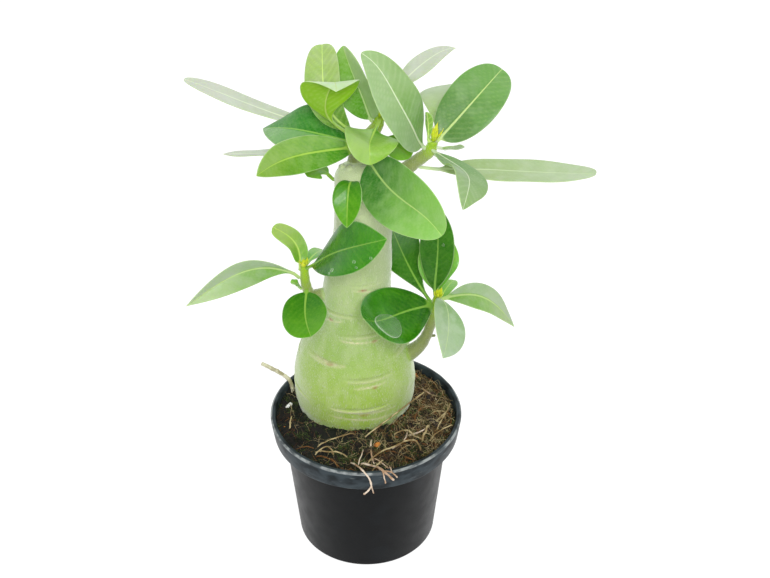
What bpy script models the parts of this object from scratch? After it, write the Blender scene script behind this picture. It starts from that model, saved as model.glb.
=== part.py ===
"""Potted desert rose: a seedling with a swollen stem and four leafy shoots, in a nursery pot.

Every length is in millimetres and every angle in degrees, and mesh_object() turns the
millimetres into metres. The origin is the centre of the pot's base, +Z is up, and the
plant's front faces -Y.
"""
import math
import random
from typing import NamedTuple

import bmesh
import bpy
from mathutils import Matrix, Vector, noise

MM = 0.001
CLEARANCE = 0.3            # between pieces that touch
ROOT_GAP = 0.36            # between the root and the mix, before faceting
UP = Vector((0, 0, 1))

# Pot
POT_SIDES = 44
POT_HEIGHT = 81.5
FOOT_RADIUS = 39.5
FOOT_ROUNDING = 1.8
FOOT_CHAMFER = 0.3         # where the rounding's middle point lies, as a share of it
SHOULDER_HEIGHT = 69.5     # where the band under the rim begins
SHOULDER_RADIUS = 46.0
BAND_RADIUS = 50.9
RIM_RADIUS = 52.5
RIM_LIP = 2.0
WALL = 1.3
FLOOR = 1.5
EDGE = 0.5                 # size of the pot's small edges
DRAIN_HOLES = 6
DRAIN_CIRCLE = 27.0
DRAIN_RADIUS = 4.0

# Potting mix
SOIL_RINGS = 9
SOIL_SECTORS = 36
SOIL_EDGE_HEIGHT = 76.0    # at the pot's wall
SOIL_COLLAR = 79.5         # against the stem, on average
SOIL_FRONT_RISE = 2.5      # how much higher the collar is in front
SOIL_MOUND_WIDTH = 10.0
SOIL_ROUGHNESS = 1.5
SOIL_BUMPS = ((7.0, 0.0, 1.0), (3.0, 9.0, 0.5))   # width, offset and share of each size
STRANDS = 34
STRAND_STEPS = 5
STRAND_SIDES = 5
STRAND_RADIUS = (0.45, 0.8)
STRAND_LENGTH = (12, 30)
STRAND_TURN = (-0.35, 0.35)      # change of bearing at each step
STRAND_RISE = (0.4, 2.2)
STRAND_SINK = 1.6                # how deep its ends are in the mix
STRAND_TAPER = 0.4
STRAND_DISTANCE = (15, 47)       # from the pot's axis
CHIPS = 10
CHIP_SIZE = ((4, 7), (2, 3.5), (1.2, 2))
CHIP_TILT = (-0.5, 0.5)
CHIP_LIFT = 0.5
CHIP_DISTANCE = (15, 46)
SOIL_SEED = 5

# Swollen stem
STEM_SIDES = 28
ROOT_BOTTOM = 37.0
SCAR_RINGS = (96.5, 115.0, 122.0, 137.0, 149.0, 168.0)
SCAR_STEPS = (-3.2, -1.2, 0.8, 3.0)   # ring heights about each scar, across its lip and crease
STEM_HEIGHTS = (38, 41, 47, 57, 67, 75, 81, 87, 102, 108, 128, 143, 157, 178, 190, 202, 212,
                220, 225, 229, 231.5)
STEM_TOP = 233.0
ON_AXIS = 0.5              # a point nearer to an axis than this counts as on it
STEM_PROFILE = (           # height, radius
    (37, 0), (39, 6), (44, 12), (55, 19), (67, 26), (75, 30.3), (82, 32.3), (87, 33.2),
    (97, 33.3), (106, 32.4), (114, 30.6), (125, 25), (136, 20.2), (147, 18.6), (158, 18),
    (173, 17), (190, 15.4), (208, 14.6), (218, 14.2), (225, 13.6), (229, 11.8), (231.5, 7.6),
    (233, 0))
STEM_AXIS = (              # height, x, y
    (37, -6.5, 14.5), (83, -6.5, 14.5), (123, -6, 13.5), (153, -4.6, 12.6), (173, -3, 12),
    (203, -0.4, 10.4), (218, -0.8, 9), (233, -2, 8))
LEAF_SCARS = (             # height, bearing, half its reach along the ring, lip
    (168, -75, 34, 0.31), (168, 80, 60, 0.37), (168, 175, 40, 0.25),
    (149, -118, 36, 0.56), (149, 20, 50, 0.5), (149, 130, 40, 0.5),
    (137, -78, 36, 0.62), (137, 70, 50, 0.5), (137, 175, 35, 0.5),
    (122, -128, 30, 0.74), (122, -10, 34, 0.56), (122, 95, 40, 0.62),
    (115, -74, 28, 0.74), (115, 150, 44, 0.62), (115, 40, 30, 0.56),
    (96.5, -82, 30, 0.74), (96.5, 20, 40, 0.62), (96.5, 120, 36, 0.68), (96.5, -160, 26, 0.56))
SCAR_LIP_WIDTH = 1.4
SCAR_CREASE_WIDTH = 0.9
SCAR_CREASE_SHARE = 0.7    # depth of the crease above a lip, as a share of the lip
SCAR_REACH = 0.8           # the most that a lip stands out of the stem
RING_GROOVE = 0.2          # shallow groove that runs right round at each scar ring


class Leaf(NamedTuple):
    """One leaf: where it leaves its shoot, where its tip is, and how its blade bends."""
    at: float              # fraction of the way along the shoot
    tip: tuple
    width: float
    arch: float            # how far the midrib rises above the straight line to the tip
    bend: float            # how far it bows to the right, seen from its base
    roll: float            # turn about the midrib at the base, right side up
    fold: float            # rise of each half of the blade from the midrib
    belly: float = 0.62    # where the blade is widest, 0 at the stalk and 1 at the tip
    blunt: float = 0.55    # how round the tip is
    stalk: float = 0.08    # share of the length that is stalk
    crest: float = 0.5     # where the midrib stands highest, as a share of the length
    twist: float = 0       # further turn about the midrib by the tip
    aim: float = None      # bearing in which the stalk leaves the shoot


# Points along each shoot, from inside the swollen stem outwards: x, y, z and radius
SHOOTS = {
    "right_crown": ((6, 9, 215, 8), (15, 8, 224, 5), (24, 6, 234, 3.4), (32, 4, 242, 3),
                    (34, 4, 248, 2.4)),
    "left_crown": ((-2, 13, 220, 8), (-3, 14, 231, 5.5), (-1, 13.5, 241, 4), (6, 14, 250, 3.2),
                   (8, 14, 256, 2.4)),
    "left_side": ((-12, 12, 152, 5), (-22, 9, 153.5, 3.6), (-28.5, 6, 155.5, 2.9),
                  (-31, 5, 163, 2.6), (-31.5, 5, 174, 2.1)),
    "right_side": ((14, 12, 106, 6), (27, 8, 118, 4), (33, 5, 130, 2.8), (36, 3, 145, 2.6),
                   (38, 2, 156, 2.2)),
}
SHOOT_SIDES = 10
SHOOT_STEPS = 9
CROWN_HEIGHTS = (203, 211, 219, 225, 227)   # the stem's top, where two leaves sit on it directly
STUBS = (                  # pruned twigs and fruit-stalk scars: from, to, radius
    ((34, 5, 129), (37.5, 4, 130), 0.8),
    ((-7, 6, 229), (-7.2, 4.8, 233.6), 2.2),
    ((0.2, 6, 229), (0.6, 4.8, 233.2), 2.4),
    ((-10, 9, 228), (-11.2, 8.6, 232), 2.0))
STUB_TAPER = 0.8
STUB_SIDES = 8
LEAVES = {
    "right_crown": (
        Leaf(0.9, (68.1, 28.2, 274.9), 27.2, 2.1, 2.5, -39, 4, belly=0.53, blunt=0.38, stalk=0.06,
             crest=0.52, twist=7, aim=60),
        Leaf(0.79, (-0.5, -8.2, 300.4), 23, 2.4, -14.9, 49, 4, belly=0.5, blunt=0.61, stalk=0.04,
             crest=0.85, twist=36),
        Leaf(0.99, (30.6, -0.8, 266.3), 5, 1, 0, 0, 30, aim=220),
        Leaf(0.83, (45.1, 53.9, 254.2), 28.9, 7.1, 1.2, 8, 11, belly=0.67, blunt=0.67, stalk=0.14,
             crest=0.51, twist=11, aim=85),
        Leaf(0.84, (46.6, -45.2, 238.5), 23.3, 4, -9, 17, 4, belly=0.48, blunt=0.8, stalk=0.03,
             crest=0.77, twist=30),
        Leaf(0.52, (115.3, 4.8, 229), 21.8, -5.6, -9.6, -10, 4, belly=0.6, blunt=0.36, stalk=0.11,
             crest=0.55, twist=12),
        Leaf(0.84, (50.2, 27.5, 231.2), 7, 0, 0, 34, 5, aim=20),
        Leaf(0.74, (47, 27.7, 219.5), 5, 0, 0, 34, 5, aim=20)),
    "left_crown": (
        Leaf(0.56, (-20.2, 28.7, 287.8), 18, 5.2, -15.6, 54, 13, belly=0.64, blunt=0.34,
             crest=0.62, twist=1),
        Leaf(0.81, (-9.8, 23.1, 289.6), 23.6, 3.3, -3.7, 80, 27, belly=0.47, blunt=0.61,
             stalk=0.03, crest=0.38, twist=15),
        Leaf(0.56, (-11.9, -20.8, 286.8), 29.1, 7.6, 11.8, -9, 4, belly=0.75, blunt=1.09,
             stalk=0.15, crest=0.84, twist=-16),
        Leaf(0.46, (-51, 26.8, 242.8), 32.3, 7, -8.1, 42, 6, belly=0.36, blunt=0.92, stalk=0.03,
             crest=0.52, twist=-26, aim=163),
        Leaf(0.47, (-48.8, -38.3, 252.6), 18.8, -1.3, 9.5, 43, 4, belly=0.41, blunt=0.85, stalk=0,
             crest=0.48, twist=4, aim=-140),
        Leaf(0.96, (3.4, -19, 247.5), 28.6, 5.6, 1.6, 8, 22, belly=0.7, blunt=0.74, stalk=0.11,
             crest=0.8, twist=8),
        Leaf(0.43, (37.1, -47.4, 225.6), 31.3, 3.4, 3.9, -52, 20, belly=0.52, blunt=0.45,
             stalk=0.07, crest=0.79, twist=-2),
        Leaf(0.62, (23.3, 4.2, 239), 15, 2, 0, -25, 12),
        Leaf(0.58, (-91.8, 47, 260.4), 11.3, -6, 1.3, 5, 4, belly=0.67, blunt=0.45, stalk=0.09,
             crest=0.3, twist=6, aim=122),
        Leaf(0.35, (-73.2, 35, 223.6), 9.3, 1.4, -3.7, -9, 7, belly=0.64, blunt=0.79, crest=0.47,
             twist=5, aim=140),
        Leaf(0.96, (46.7, 56.8, 273), 12.5, 2.1, -7.7, -10, 4, belly=0.65, blunt=1.1, stalk=0.1,
             crest=0.85, twist=-2)),
    "stem_top": (
        Leaf(0.83, (-7.9, -26.8, 217.2), 15.1, 13.5, 0.5, -4, 12, belly=0.52, blunt=0.85,
             stalk=0.09, crest=0.32, twist=-1),
        Leaf(0.7, (-28.6, 10, 224.6), 16.5, 2, 4, 0, 8, belly=0.63, blunt=0.7, stalk=0.2)),
    "left_side": (
        Leaf(0.92, (-47, 9, 195.4), 11, 3.4, 5.1, 36, 24, belly=0.52, blunt=0.22, stalk=0.1,
             crest=0.34, twist=14),
        Leaf(0.84, (-93, -6, 156.1), 18.1, 7.9, 7.6, 80, 32, belly=0.47, blunt=1.04, stalk=0.04,
             crest=0.3, twist=3),
        Leaf(0.99, (11.5, -37.1, 217.4), 27.4, 3, 2.1, -29, 4, belly=0.53, blunt=0.88, stalk=0.05,
             crest=0.37, twist=-50),
        Leaf(0.69, (-27.3, -26, 151.5), 24.5, -1.6, 1.8, -8, 14, belly=0.54, blunt=0.36,
             stalk=0.04, crest=0.53, twist=-7),
        Leaf(0.68, (-38.9, 4.3, 164.5), 6, 1, 0, 0, 12),
        Leaf(0.97, (-22, 34, 165), 10, 2, 0, 0, 12)),
    "right_side": (
        Leaf(0.83, (13.8, 52.3, 169.1), 26.6, 5.5, -4.1, 35, 14, belly=0.71, blunt=0.64,
             stalk=0.04, crest=0.56, twist=-2),
        Leaf(0.99, (37.8, 17.1, 201.9), 19.2, 1.7, 0.7, 8, 15, belly=0.55, blunt=0.66, stalk=0.04,
             crest=0.51, twist=6),
        Leaf(0.89, (-0.4, -36.8, 170.8), 32.5, -5.8, 4.3, 40, 4, belly=0.49, blunt=0.75, stalk=0,
             crest=0.63, twist=-10),
        Leaf(0.96, (39.2, -48.4, 154.5), 25.9, 8.6, -4, 34, 4, belly=0.59, blunt=1.09, stalk=0.04,
             crest=0.3, twist=28),
        Leaf(0.99, (79.2, -0.5, 138.8), 15.8, 11.1, 1.7, -31, 4, belly=0.4, blunt=1.1, stalk=0.03,
             crest=0.44, twist=6),
        Leaf(0.8, (48.1, 30.1, 148.2), 9, 2, 0, 0, 12),
        Leaf(0.88, (43.2, 22.8, 181.2), 22.1, 2.1, -2.9, -13, 12, belly=0.59, blunt=0.69,
             stalk=0.12, crest=0.49, twist=-1, aim=60)),
}
BLADE_COLUMNS = (-1.0, -0.5, 0.0, 0.5, 1.0)   # across the blade, from left margin to right margin
BLADE_ROWS = 10
SMALL_BLADE_ROWS = 8
SMALL_BLADE_WIDTH = 13.0
ROW_CROWDING = 1.25        # above 1, the rows stand closer together near the rounded tip
BLADE_END = 0.995          # the blade is cut just short of its sharp tip
BLADE_THICKNESS = 0.7
MIDRIB_DEPTH = 0.5         # how far the midrib stands out of the underside at its base
STALK_WIDTH = 2.2
STALK_THICKNESS = 1.5
STALK_FADE = 1.6           # the stalk's thickness fades into the blade by this share of its length
STALK_LEAST = 0.06         # the least share of a leaf's length in which it fades
STALK_KICK = 0.5           # how strongly a stalk first follows the direction it leaves in

# Buds at the shoots' ends: length of their young blades
BUDS = {"right_crown": 9.5, "left_crown": 7.0, "left_side": 5.0, "right_side": 6.0}
BUD_PROFILE = ((0, 0), (1.2, 0), (1.35, 1.0), (0.9, 2.4), (0, 3.0))
BUD_SIDES = 8
BUD_BLADES = 3
BUD_BLADE_SIDES = 6
BUD_BLADE_BASE = 1.0       # how far above the bud's base its blades begin
BUD_BLADE_RADIUS = 1.15
BUD_BLADE_TAPER = 0.25
BUD_BLADE_FLATNESS = 0.7
BUD_BLADE_OFFSET = 0.5
BUD_BLADE_LEAN = 12.0
BUD_TURN = 0.2             # of one blade's share of the circle


class Finish(NamedTuple):
    """Colour and roughness of one material."""
    colour: tuple
    roughness: float


POT_FINISH = Finish((0.022, 0.023, 0.025), 0.38)
SOIL_FINISH = Finish((0.060, 0.032, 0.016), 0.90)
STEM_FINISH = Finish((0.42, 0.50, 0.20), 0.60)
BUD_FINISH = Finish((0.42, 0.56, 0.06), 0.45)
LEAF_FINISHES = {          # the crown's leaves are bright, the lower shoots' are darker or greyer
    "right_crown": Finish((0.16, 0.36, 0.07), 0.40),
    "left_crown": Finish((0.14, 0.37, 0.05), 0.38),
    "stem_top": Finish((0.11, 0.32, 0.04), 0.38),
    "left_side": Finish((0.09, 0.30, 0.03), 0.36),
    "right_side": Finish((0.07, 0.26, 0.04), 0.35),
}


def through(points, x, column=1):
    """Value at x of a smooth curve through the points, which never overshoots between them."""
    x = min(max(x, points[0][0]), points[-1][0])
    secants = [(b[column] - a[column]) / (b[0] - a[0]) for a, b in zip(points, points[1:])]

    def slope(i):
        before, after = secants[max(i - 1, 0)], secants[min(i, len(secants) - 1)]
        return 2 * before * after / (before + after) if before * after > 0 else 0.0

    k = next(i for i in range(len(secants)) if x <= points[i + 1][0])
    low, high = points[k], points[k + 1]
    span = high[0] - low[0]
    u = (x - low[0]) / span
    return ((1 + 2 * u) * (1 - u) ** 2 * low[column] + u * (1 - u) ** 2 * span * slope(k)
            + u * u * (3 - 2 * u) * high[column] - u * u * (1 - u) * span * slope(k + 1))


def finish_material(name, finish):
    """A material with one Principled BSDF."""
    material = bpy.data.materials.new(name)
    material.use_nodes = True
    shader = material.node_tree.nodes["Principled BSDF"]
    shader.inputs["Base Color"].default_value = (*finish.colour, 1)
    shader.inputs["Roughness"].default_value = finish.roughness
    shader.inputs["Metallic"].default_value = 0.0
    material.diffuse_color = (*finish.colour, 1)
    return material


def mesh_object(name, bm, finish=None, place=Vector(), parent=None, sharp=40):
    """An object in metres from a bmesh in millimetres, smooth except across sharp edges."""
    bmesh.ops.recalc_face_normals(bm, faces=bm.faces)
    bm.transform(Matrix.Scale(MM, 4))
    mesh = bpy.data.meshes.new(name)
    bm.to_mesh(mesh)
    bm.free()
    mesh.shade_smooth()
    mesh.set_sharp_from_angle(angle=math.radians(sharp))
    thing = bpy.data.objects.new(name, mesh)
    bpy.context.scene.collection.objects.link(thing)
    if finish:
        mesh.materials.append(finish_material(name, finish))
    if parent:
        thing.parent = parent
    thing.location = place * MM
    return thing


def mark_cutter(thing):
    """Keeps a cutter out of sight."""
    thing.hide_render = True
    thing.display_type = "WIRE"
    return thing


def cut(thing, cutter):
    """Cuts one object out of another, live."""
    boolean = thing.modifiers.new("cut", "BOOLEAN")
    boolean.operation = "DIFFERENCE"
    boolean.solver = "EXACT"
    boolean.object = mark_cutter(cutter)


def fuse(thing, pieces, solver="EXACT"):
    """Joins the pieces to an object in one applied union, and removes them."""
    group = bpy.data.collections.new(thing.name + "_pieces")
    for piece in pieces:
        group.objects.link(piece)
    boolean = thing.modifiers.new("union", "BOOLEAN")
    boolean.operation = "UNION"
    boolean.solver = solver
    boolean.operand_type = "COLLECTION"
    boolean.collection = group
    graph = bpy.context.evaluated_depsgraph_get()
    joined = bpy.data.meshes.new_from_object(thing.evaluated_get(graph))
    thing.modifiers.clear()
    thing.data = joined
    for piece in pieces:
        bpy.data.objects.remove(piece)
    bpy.data.collections.remove(group)


def spun(profile, sides):
    """A mesh turned about Z from (radius, height) points that start and end on the axis."""
    bm = bmesh.new()
    verts = [bm.verts.new((radius, 0, height)) for radius, height in profile]
    edges = [bm.edges.new(pair) for pair in zip(verts, verts[1:])]
    bmesh.ops.spin(bm, geom=verts + edges, cent=(0, 0, 0), axis=UP, angle=math.tau, steps=sides,
                   use_merge=True)
    bmesh.ops.remove_doubles(bm, verts=bm.verts, dist=MM)
    return bm


def swept(path, sides):
    """A closed tube along (point, radius) pairs."""
    bm = bmesh.new()
    points = [point for point, radius in path]
    across = None
    rings = []
    for k, (point, radius) in enumerate(path):
        along = (points[min(k + 1, len(points) - 1)] - points[max(k - 1, 0)]).normalized()
        across = along.orthogonal() if across is None else across - along * across.dot(along)
        across.normalize()
        beside = along.cross(across)
        turns = [math.tau * j / sides for j in range(sides)]
        rings.append([bm.verts.new(point + radius * (across * math.cos(a) + beside * math.sin(a)))
                      for a in turns])
    for low, high in zip(rings, rings[1:]):
        for j in range(sides):
            bm.faces.new((low[j - 1], low[j], high[j], high[j - 1]))
    bm.faces.new(rings[0])
    bm.faces.new(rings[-1])
    return bm


def pot_wall_radius(height):
    """The outer radius of the pot's wall below the band."""
    return FOOT_RADIUS + (SHOULDER_RADIUS - FOOT_RADIUS) * height / SHOULDER_HEIGHT


def pot_inside():
    """(radius, height) points of the pot's inside, from the rim down to the floor's edge."""
    return [(RIM_RADIUS - RIM_LIP, POT_HEIGHT - EDGE),
            (BAND_RADIUS - WALL, SHOULDER_HEIGHT + WALL + EDGE),
            (pot_wall_radius(SHOULDER_HEIGHT) - WALL, SHOULDER_HEIGHT + WALL),
            (pot_wall_radius(FOOT_ROUNDING) - WALL, FLOOR + FOOT_ROUNDING / 2),
            (FOOT_RADIUS - FOOT_ROUNDING, FLOOR)]


def pot_inside_radius(height):
    """The radius of the pot's inside at a height in the band."""
    (top_radius, top), (low_radius, low) = pot_inside()[:2]
    return low_radius + (top_radius - low_radius) * (height - low) / (top - low)


def build_pot():
    """The pot: one thin wall with a band under its rim, and drain holes round its floor."""
    outside = [(0, 0), (FOOT_RADIUS - FOOT_ROUNDING, 0),
               (FOOT_RADIUS - FOOT_ROUNDING * FOOT_CHAMFER, FOOT_ROUNDING * FOOT_CHAMFER),
               (pot_wall_radius(FOOT_ROUNDING), FOOT_ROUNDING),
               (pot_wall_radius(SHOULDER_HEIGHT), SHOULDER_HEIGHT),
               (BAND_RADIUS - EDGE, SHOULDER_HEIGHT + EDGE / 2),
               (BAND_RADIUS, SHOULDER_HEIGHT + EDGE * 1.5),
               (RIM_RADIUS, POT_HEIGHT - EDGE), (RIM_RADIUS - EDGE, POT_HEIGHT),
               (RIM_RADIUS - RIM_LIP + EDGE, POT_HEIGHT)]
    pot = mesh_object("pot", spun(outside + pot_inside() + [(0, FLOOR)], POT_SIDES), POT_FINISH)
    holes = bmesh.new()
    for k in range(DRAIN_HOLES):
        turn = Matrix.Rotation(math.tau * (k + 0.5) / DRAIN_HOLES, 4, "Z")
        place = turn @ Matrix.Translation((DRAIN_CIRCLE, 0, 0))
        bmesh.ops.create_cone(holes, cap_ends=True, segments=12, radius1=DRAIN_RADIUS,
                              radius2=DRAIN_RADIUS, depth=4 * FLOOR, matrix=place)
    cut(pot, mesh_object("drain_hole_cutter", holes))


def stem_centre(height):
    """Point on the swollen stem's slightly leaning axis."""
    return Vector((through(STEM_AXIS, height, 1), through(STEM_AXIS, height, 2), height))


def stem_radius(height):
    """Radius of the swollen stem, without its scars."""
    return through(STEM_PROFILE, height)


def scar_relief(height, bearing):
    """How far the stem's skin stands out at the leaf scars: a lip, with a crease above it."""
    relief = 0.0
    for ring in SCAR_RINGS:
        relief -= RING_GROOVE * math.exp(-((height - ring - SCAR_CREASE_WIDTH) / SCAR_LIP_WIDTH) ** 2)
    for level, middle, reach, lip in LEAF_SCARS:
        turn = (bearing - middle + 180) % 360 - 180
        window = max(0.0, 1 - (turn / reach) ** 2)
        below = (height - level + SCAR_LIP_WIDTH) / SCAR_LIP_WIDTH
        above = (height - level - SCAR_CREASE_WIDTH) / SCAR_CREASE_WIDTH
        relief += lip * window * (math.exp(-below ** 2) - SCAR_CREASE_SHARE * math.exp(-above ** 2))
    return relief


def stem_skin(top=STEM_TOP, grow=0.0):
    """The swollen stem with its tap root, up to a height, its skin moved outwards by grow."""
    heights = sorted(STEM_HEIGHTS + tuple(ring + step for ring in SCAR_RINGS for step in SCAR_STEPS))
    heights = [height for height in heights if height < top]
    profile = [(0, ROOT_BOTTOM - grow)] + [(stem_radius(height), height) for height in heights]
    bm = spun(profile + [(0, top)], STEM_SIDES)
    for vert in bm.verts:
        radius = vert.co.xy.length
        height = vert.co.z
        if radius > ON_AXIS:
            bearing = math.degrees(math.atan2(vert.co.y, vert.co.x))
            vert.co.xy *= (radius + grow + scar_relief(height, bearing)) / radius
        vert.co.xy += stem_centre(height).xy
    return bm


def shoot_points(shoot):
    """(x, y, z, radius) points of a shoot, or of the swollen stem's top."""
    if shoot == "stem_top":
        return [(*stem_centre(height), stem_radius(height)) for height in CROWN_HEIGHTS]
    return SHOOTS[shoot]


def shoot_at(shoot, fraction):
    """Point and radius at a fraction of the way along a shoot, on a curve through its points."""
    points = [Vector(values) for values in shoot_points(shoot)]
    last = len(points) - 1
    x = min(max(fraction, 0.0), 1.0) * last
    k = min(int(x), last - 1)
    u = x - k
    start, end = points[k], points[k + 1]
    leaving = (end - points[max(k - 1, 0)]) / 2
    arriving = (points[min(k + 2, last)] - start) / 2
    value = ((2 * u ** 3 - 3 * u ** 2 + 1) * start + (u ** 3 - 2 * u ** 2 + u) * leaving
             + (3 * u ** 2 - 2 * u ** 3) * end + (u ** 3 - u ** 2) * arriving)
    return value.xyz, value.w


def shoot_direction(shoot, fraction):
    """Unit vector along a shoot, outwards."""
    step = 0.01
    return (shoot_at(shoot, fraction + step)[0] - shoot_at(shoot, fraction - step)[0]).normalized()


def build_caudex():
    """The swollen stem, its tap root, its four shoots and its stubs, which grew as one piece."""
    caudex = mesh_object("caudex", stem_skin(), STEM_FINISH)
    pieces = []
    for shoot in SHOOTS:
        path = [shoot_at(shoot, k / SHOOT_STEPS) for k in range(SHOOT_STEPS + 1)]
        pieces.append(mesh_object(shoot, swept(path, SHOOT_SIDES)))
    for k, (start, end, radius) in enumerate(STUBS):
        path = [(Vector(start), radius), (Vector(end), radius * STUB_TAPER)]
        pieces.append(mesh_object("stub_%d" % k, swept(path, STUB_SIDES)))
    fuse(caudex, pieces)


def soil_height(x, y):
    """Height of the potting mix's uneven top, mounded against the stem."""
    centre = stem_centre(SOIL_COLLAR)
    out = Vector((x - centre.x, y - centre.y))
    reach = max(out.length - stem_radius(SOIL_COLLAR), 0.0)
    forward = -out.y / max(out.length, ON_AXIS)
    collar = SOIL_COLLAR + SOIL_FRONT_RISE * forward
    mound = math.exp(-(reach / SOIL_MOUND_WIDTH) ** 2)
    bumps = sum(share * noise.noise(Vector((x, y, offset)) / width)
                for width, offset, share in SOIL_BUMPS)
    return SOIL_EDGE_HEIGHT + (collar - SOIL_EDGE_HEIGHT) * mound + SOIL_ROUGHNESS * bumps


def soil_body():
    """The mix itself, which follows the pot's inside and has an uneven top."""
    walls = [(radius - CLEARANCE, height + CLEARANCE) for radius, height in reversed(pot_inside()[1:])]
    edge_radius = pot_inside_radius(SOIL_EDGE_HEIGHT) - CLEARANCE
    rings = [(edge_radius * (1 - k / SOIL_RINGS), SOIL_EDGE_HEIGHT) for k in range(SOIL_RINGS)]
    bm = spun([(0, FLOOR + CLEARANCE)] + walls + rings + [(0, SOIL_EDGE_HEIGHT)], SOIL_SECTORS)
    for vert in bm.verts:
        if vert.co.z < SOIL_EDGE_HEIGHT - EDGE:
            continue
        at_wall = vert.co.xy.length > edge_radius - EDGE
        vert.co.z = soil_height(vert.co.x, vert.co.y)
        if at_wall:
            vert.co.xy *= (pot_inside_radius(vert.co.z) - CLEARANCE) / vert.co.xy.length
    return bm


def is_clear(point, radius):
    """Whether a piece of this radius at this point clears the pot's wall and the stem."""
    margin = radius + 2 * CLEARANCE
    if point.xy.length + margin > pot_inside_radius(min(point.z, POT_HEIGHT)):
        return False
    out = (point.xy - stem_centre(point.z).xy).length
    return out > stem_radius(point.z) + SCAR_REACH + margin


def strand_path(draw):
    """A root or straw that lies in a bend on the mix with both ends in it, or None if blocked."""
    steps = STRAND_STEPS
    radius = draw.uniform(*STRAND_RADIUS)
    stride = draw.uniform(*STRAND_LENGTH) / steps
    bearing = draw.uniform(0, math.tau)
    turn = draw.uniform(*STRAND_TURN)
    rise = draw.uniform(*STRAND_RISE)
    distance = draw.uniform(*STRAND_DISTANCE)
    start = draw.uniform(0, math.tau)
    spot = Vector((distance * math.cos(start), distance * math.sin(start)))
    path = []
    for k in range(steps + 1):
        u = k / steps
        lift = rise * math.sin(math.pi * u) - STRAND_SINK * abs(2 * u - 1) ** 3
        point = Vector((spot.x, spot.y, soil_height(*spot) + lift))
        if not is_clear(point, radius):
            return None
        path.append((point, radius * (1 - STRAND_TAPER * u)))
        bearing += turn
        spot = spot + Vector((math.cos(bearing), math.sin(bearing))) * stride
    return path


# Strands placed one by one: points from end to end, and the radius
PLACED_STRANDS = (
    (((-60, 35, 87), (-52, 31, 85.4), (-46.5, 27.5, 84), (-43.5, 24, 83), (-42, 21.5, 79),
      (-41.5, 20, 74)), 1.1),
    (((0.6, -38, 74.1), (3, -36.1, 77.6), (8.9, -31.7, 79.3), (15.9, -28.2, 79.9),
      (21.8, -24.1, 79.9), (26.2, -22.5, 79.2), (28.9, -25.9, 78.5), (29.9, -28.4, 76.5),
      (31.1, -31.2, 74)), 0.55),
    (((-8.2, -36.5, 74.2), (-7.1, -39.2, 77.5), (-3.1, -48.7, 83.2), (0.1, -53.6, 83.4),
      (2.4, -54.4, 79.9), (3.2, -54.8, 75.4), (1.3, -54.9, 71.9), (-0.6, -54.9, 69.8)), 0.6),
    (((2.9, -54.8, 77.5), (3.7, -54.9, 74.1), (4.6, -54.9, 70.5)), 0.4),
    (((-3.7, -37.9, 74.1), (-1.2, -39.6, 77.5), (3.1, -42.6, 78.8), (7.4, -49.7, 83.4),
      (10.2, -52.8, 83.4), (12.6, -54.5, 82.1), (15.2, -54.9, 79.7)), 0.75),
    (((8.9, -50.5, 83.4), (9.7, -54.6, 82.9), (10.8, -54.9, 77.6)), 0.45),
    (((10, -52.1, 83.4), (13.1, -52.7, 83.6), (15.2, -54.4, 83.4), (16.8, -54.8, 81.3)), 0.45),
    (((3, -34, 74.3), (5.2, -36.1, 77.6), (8.9, -39.8, 78), (12.1, -44.8, 79),
      (13.2, -48.4, 82.9), (14.2, -52.6, 83.2)), 0.4),
    (((-4.2, -41.3, 74), (-3.3, -38.5, 78.3), (-2.1, -34.3, 78.8), (-1.3, -29.6, 78.2)), 0.4),
    (((-27, -26, 74.9), (-24.1, -25.2, 78.7), (-17.1, -23.3, 81), (-10.6, -21.4, 82.2),
      (-6.8, -20.4, 82), (-3.8, -21.9, 78.8)), 0.45),
    (((-1.8, -22.3, 78.5), (1.3, -20.7, 81.6), (8.9, -16.8, 85.8), (16.5, -12.8, 90),
      (24.1, -8.9, 94.2), (31.7, -5, 98.4)), 0.45),
    (((35.1, -7, 74.5), (34.1, -9.9, 78.4), (32.7, -14.2, 78.5), (31.2, -18.4, 77.8),
      (30.2, -21.2, 74.1)), 0.8),
    (((14.3, -18.6, 77.3), (17, -17.2, 80), (22, -14.8, 79.7), (24.7, -15.6, 79),
      (26.3, -18, 78.2), (29.6, -18.6, 77.3), (32.5, -19.2, 74.1)), 0.45),
    (((-28.1, -32, 74.1), (-25.5, -30.4, 77.9), (-21.3, -27.9, 79.3), (-18.5, -29.5, 78.9),
      (-17.4, -31.5, 77.7), (-15.9, -34.1, 74.3)), 0.45),
    (((-19.3, -33.5, 74.2), (-17.8, -36.1, 77.6), (-14.4, -41.9, 77.8), (-10.7, -45.1, 77.8),
      (-7, -44.1, 77.6), (-4.1, -43.3, 74)), 0.45),
    (((-27.7, -32, 74.1), (-24.9, -33.2, 77.1), (-20.5, -35, 77.3), (-16.7, -37.5, 77.1),
      (-14.2, -39.2, 74)), 0.5),
    (((9.3, -28.8, 74.8), (12.1, -29.7, 77.6), (17.5, -31.4, 77.7), (22.8, -35.3, 77.6),
      (28.1, -37.9, 77.4), (29.4, -37.4, 74)), 0.5),
    (((46.3, 11.2, 74), (47.1, 9.1, 77.6), (43.2, -1.1, 78.3), (39.6, -9.8, 77.7),
      (38.5, -12.6, 74.1)), 0.45),
    (((46.1, 11.8, 74), (47, 9.4, 78.2), (44.4, 1.4, 79.1), (39.2, -5.3, 78.2),
      (37.4, -7.7, 74.2)), 0.45),
    (((47.3, -5.7, 74), (47.4, -7.8, 77.4), (42.3, -11.5, 77.6), (36.7, -17.1, 77.4),
      (34.6, -19.3, 74.1)), 0.45),
    (((32.2, 35.1, 74.6), (34.7, 33.4, 77.9), (40.2, 26.2, 78.2), (43.3, 20.7, 77.5),
      (44, 18.2, 74.1)), 0.5),
)
PLACED_CHIPS = ((6.5, -25), (28, 36.5), (32.3, 29.3), (-43, 6.7))   # x and y of some
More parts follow.
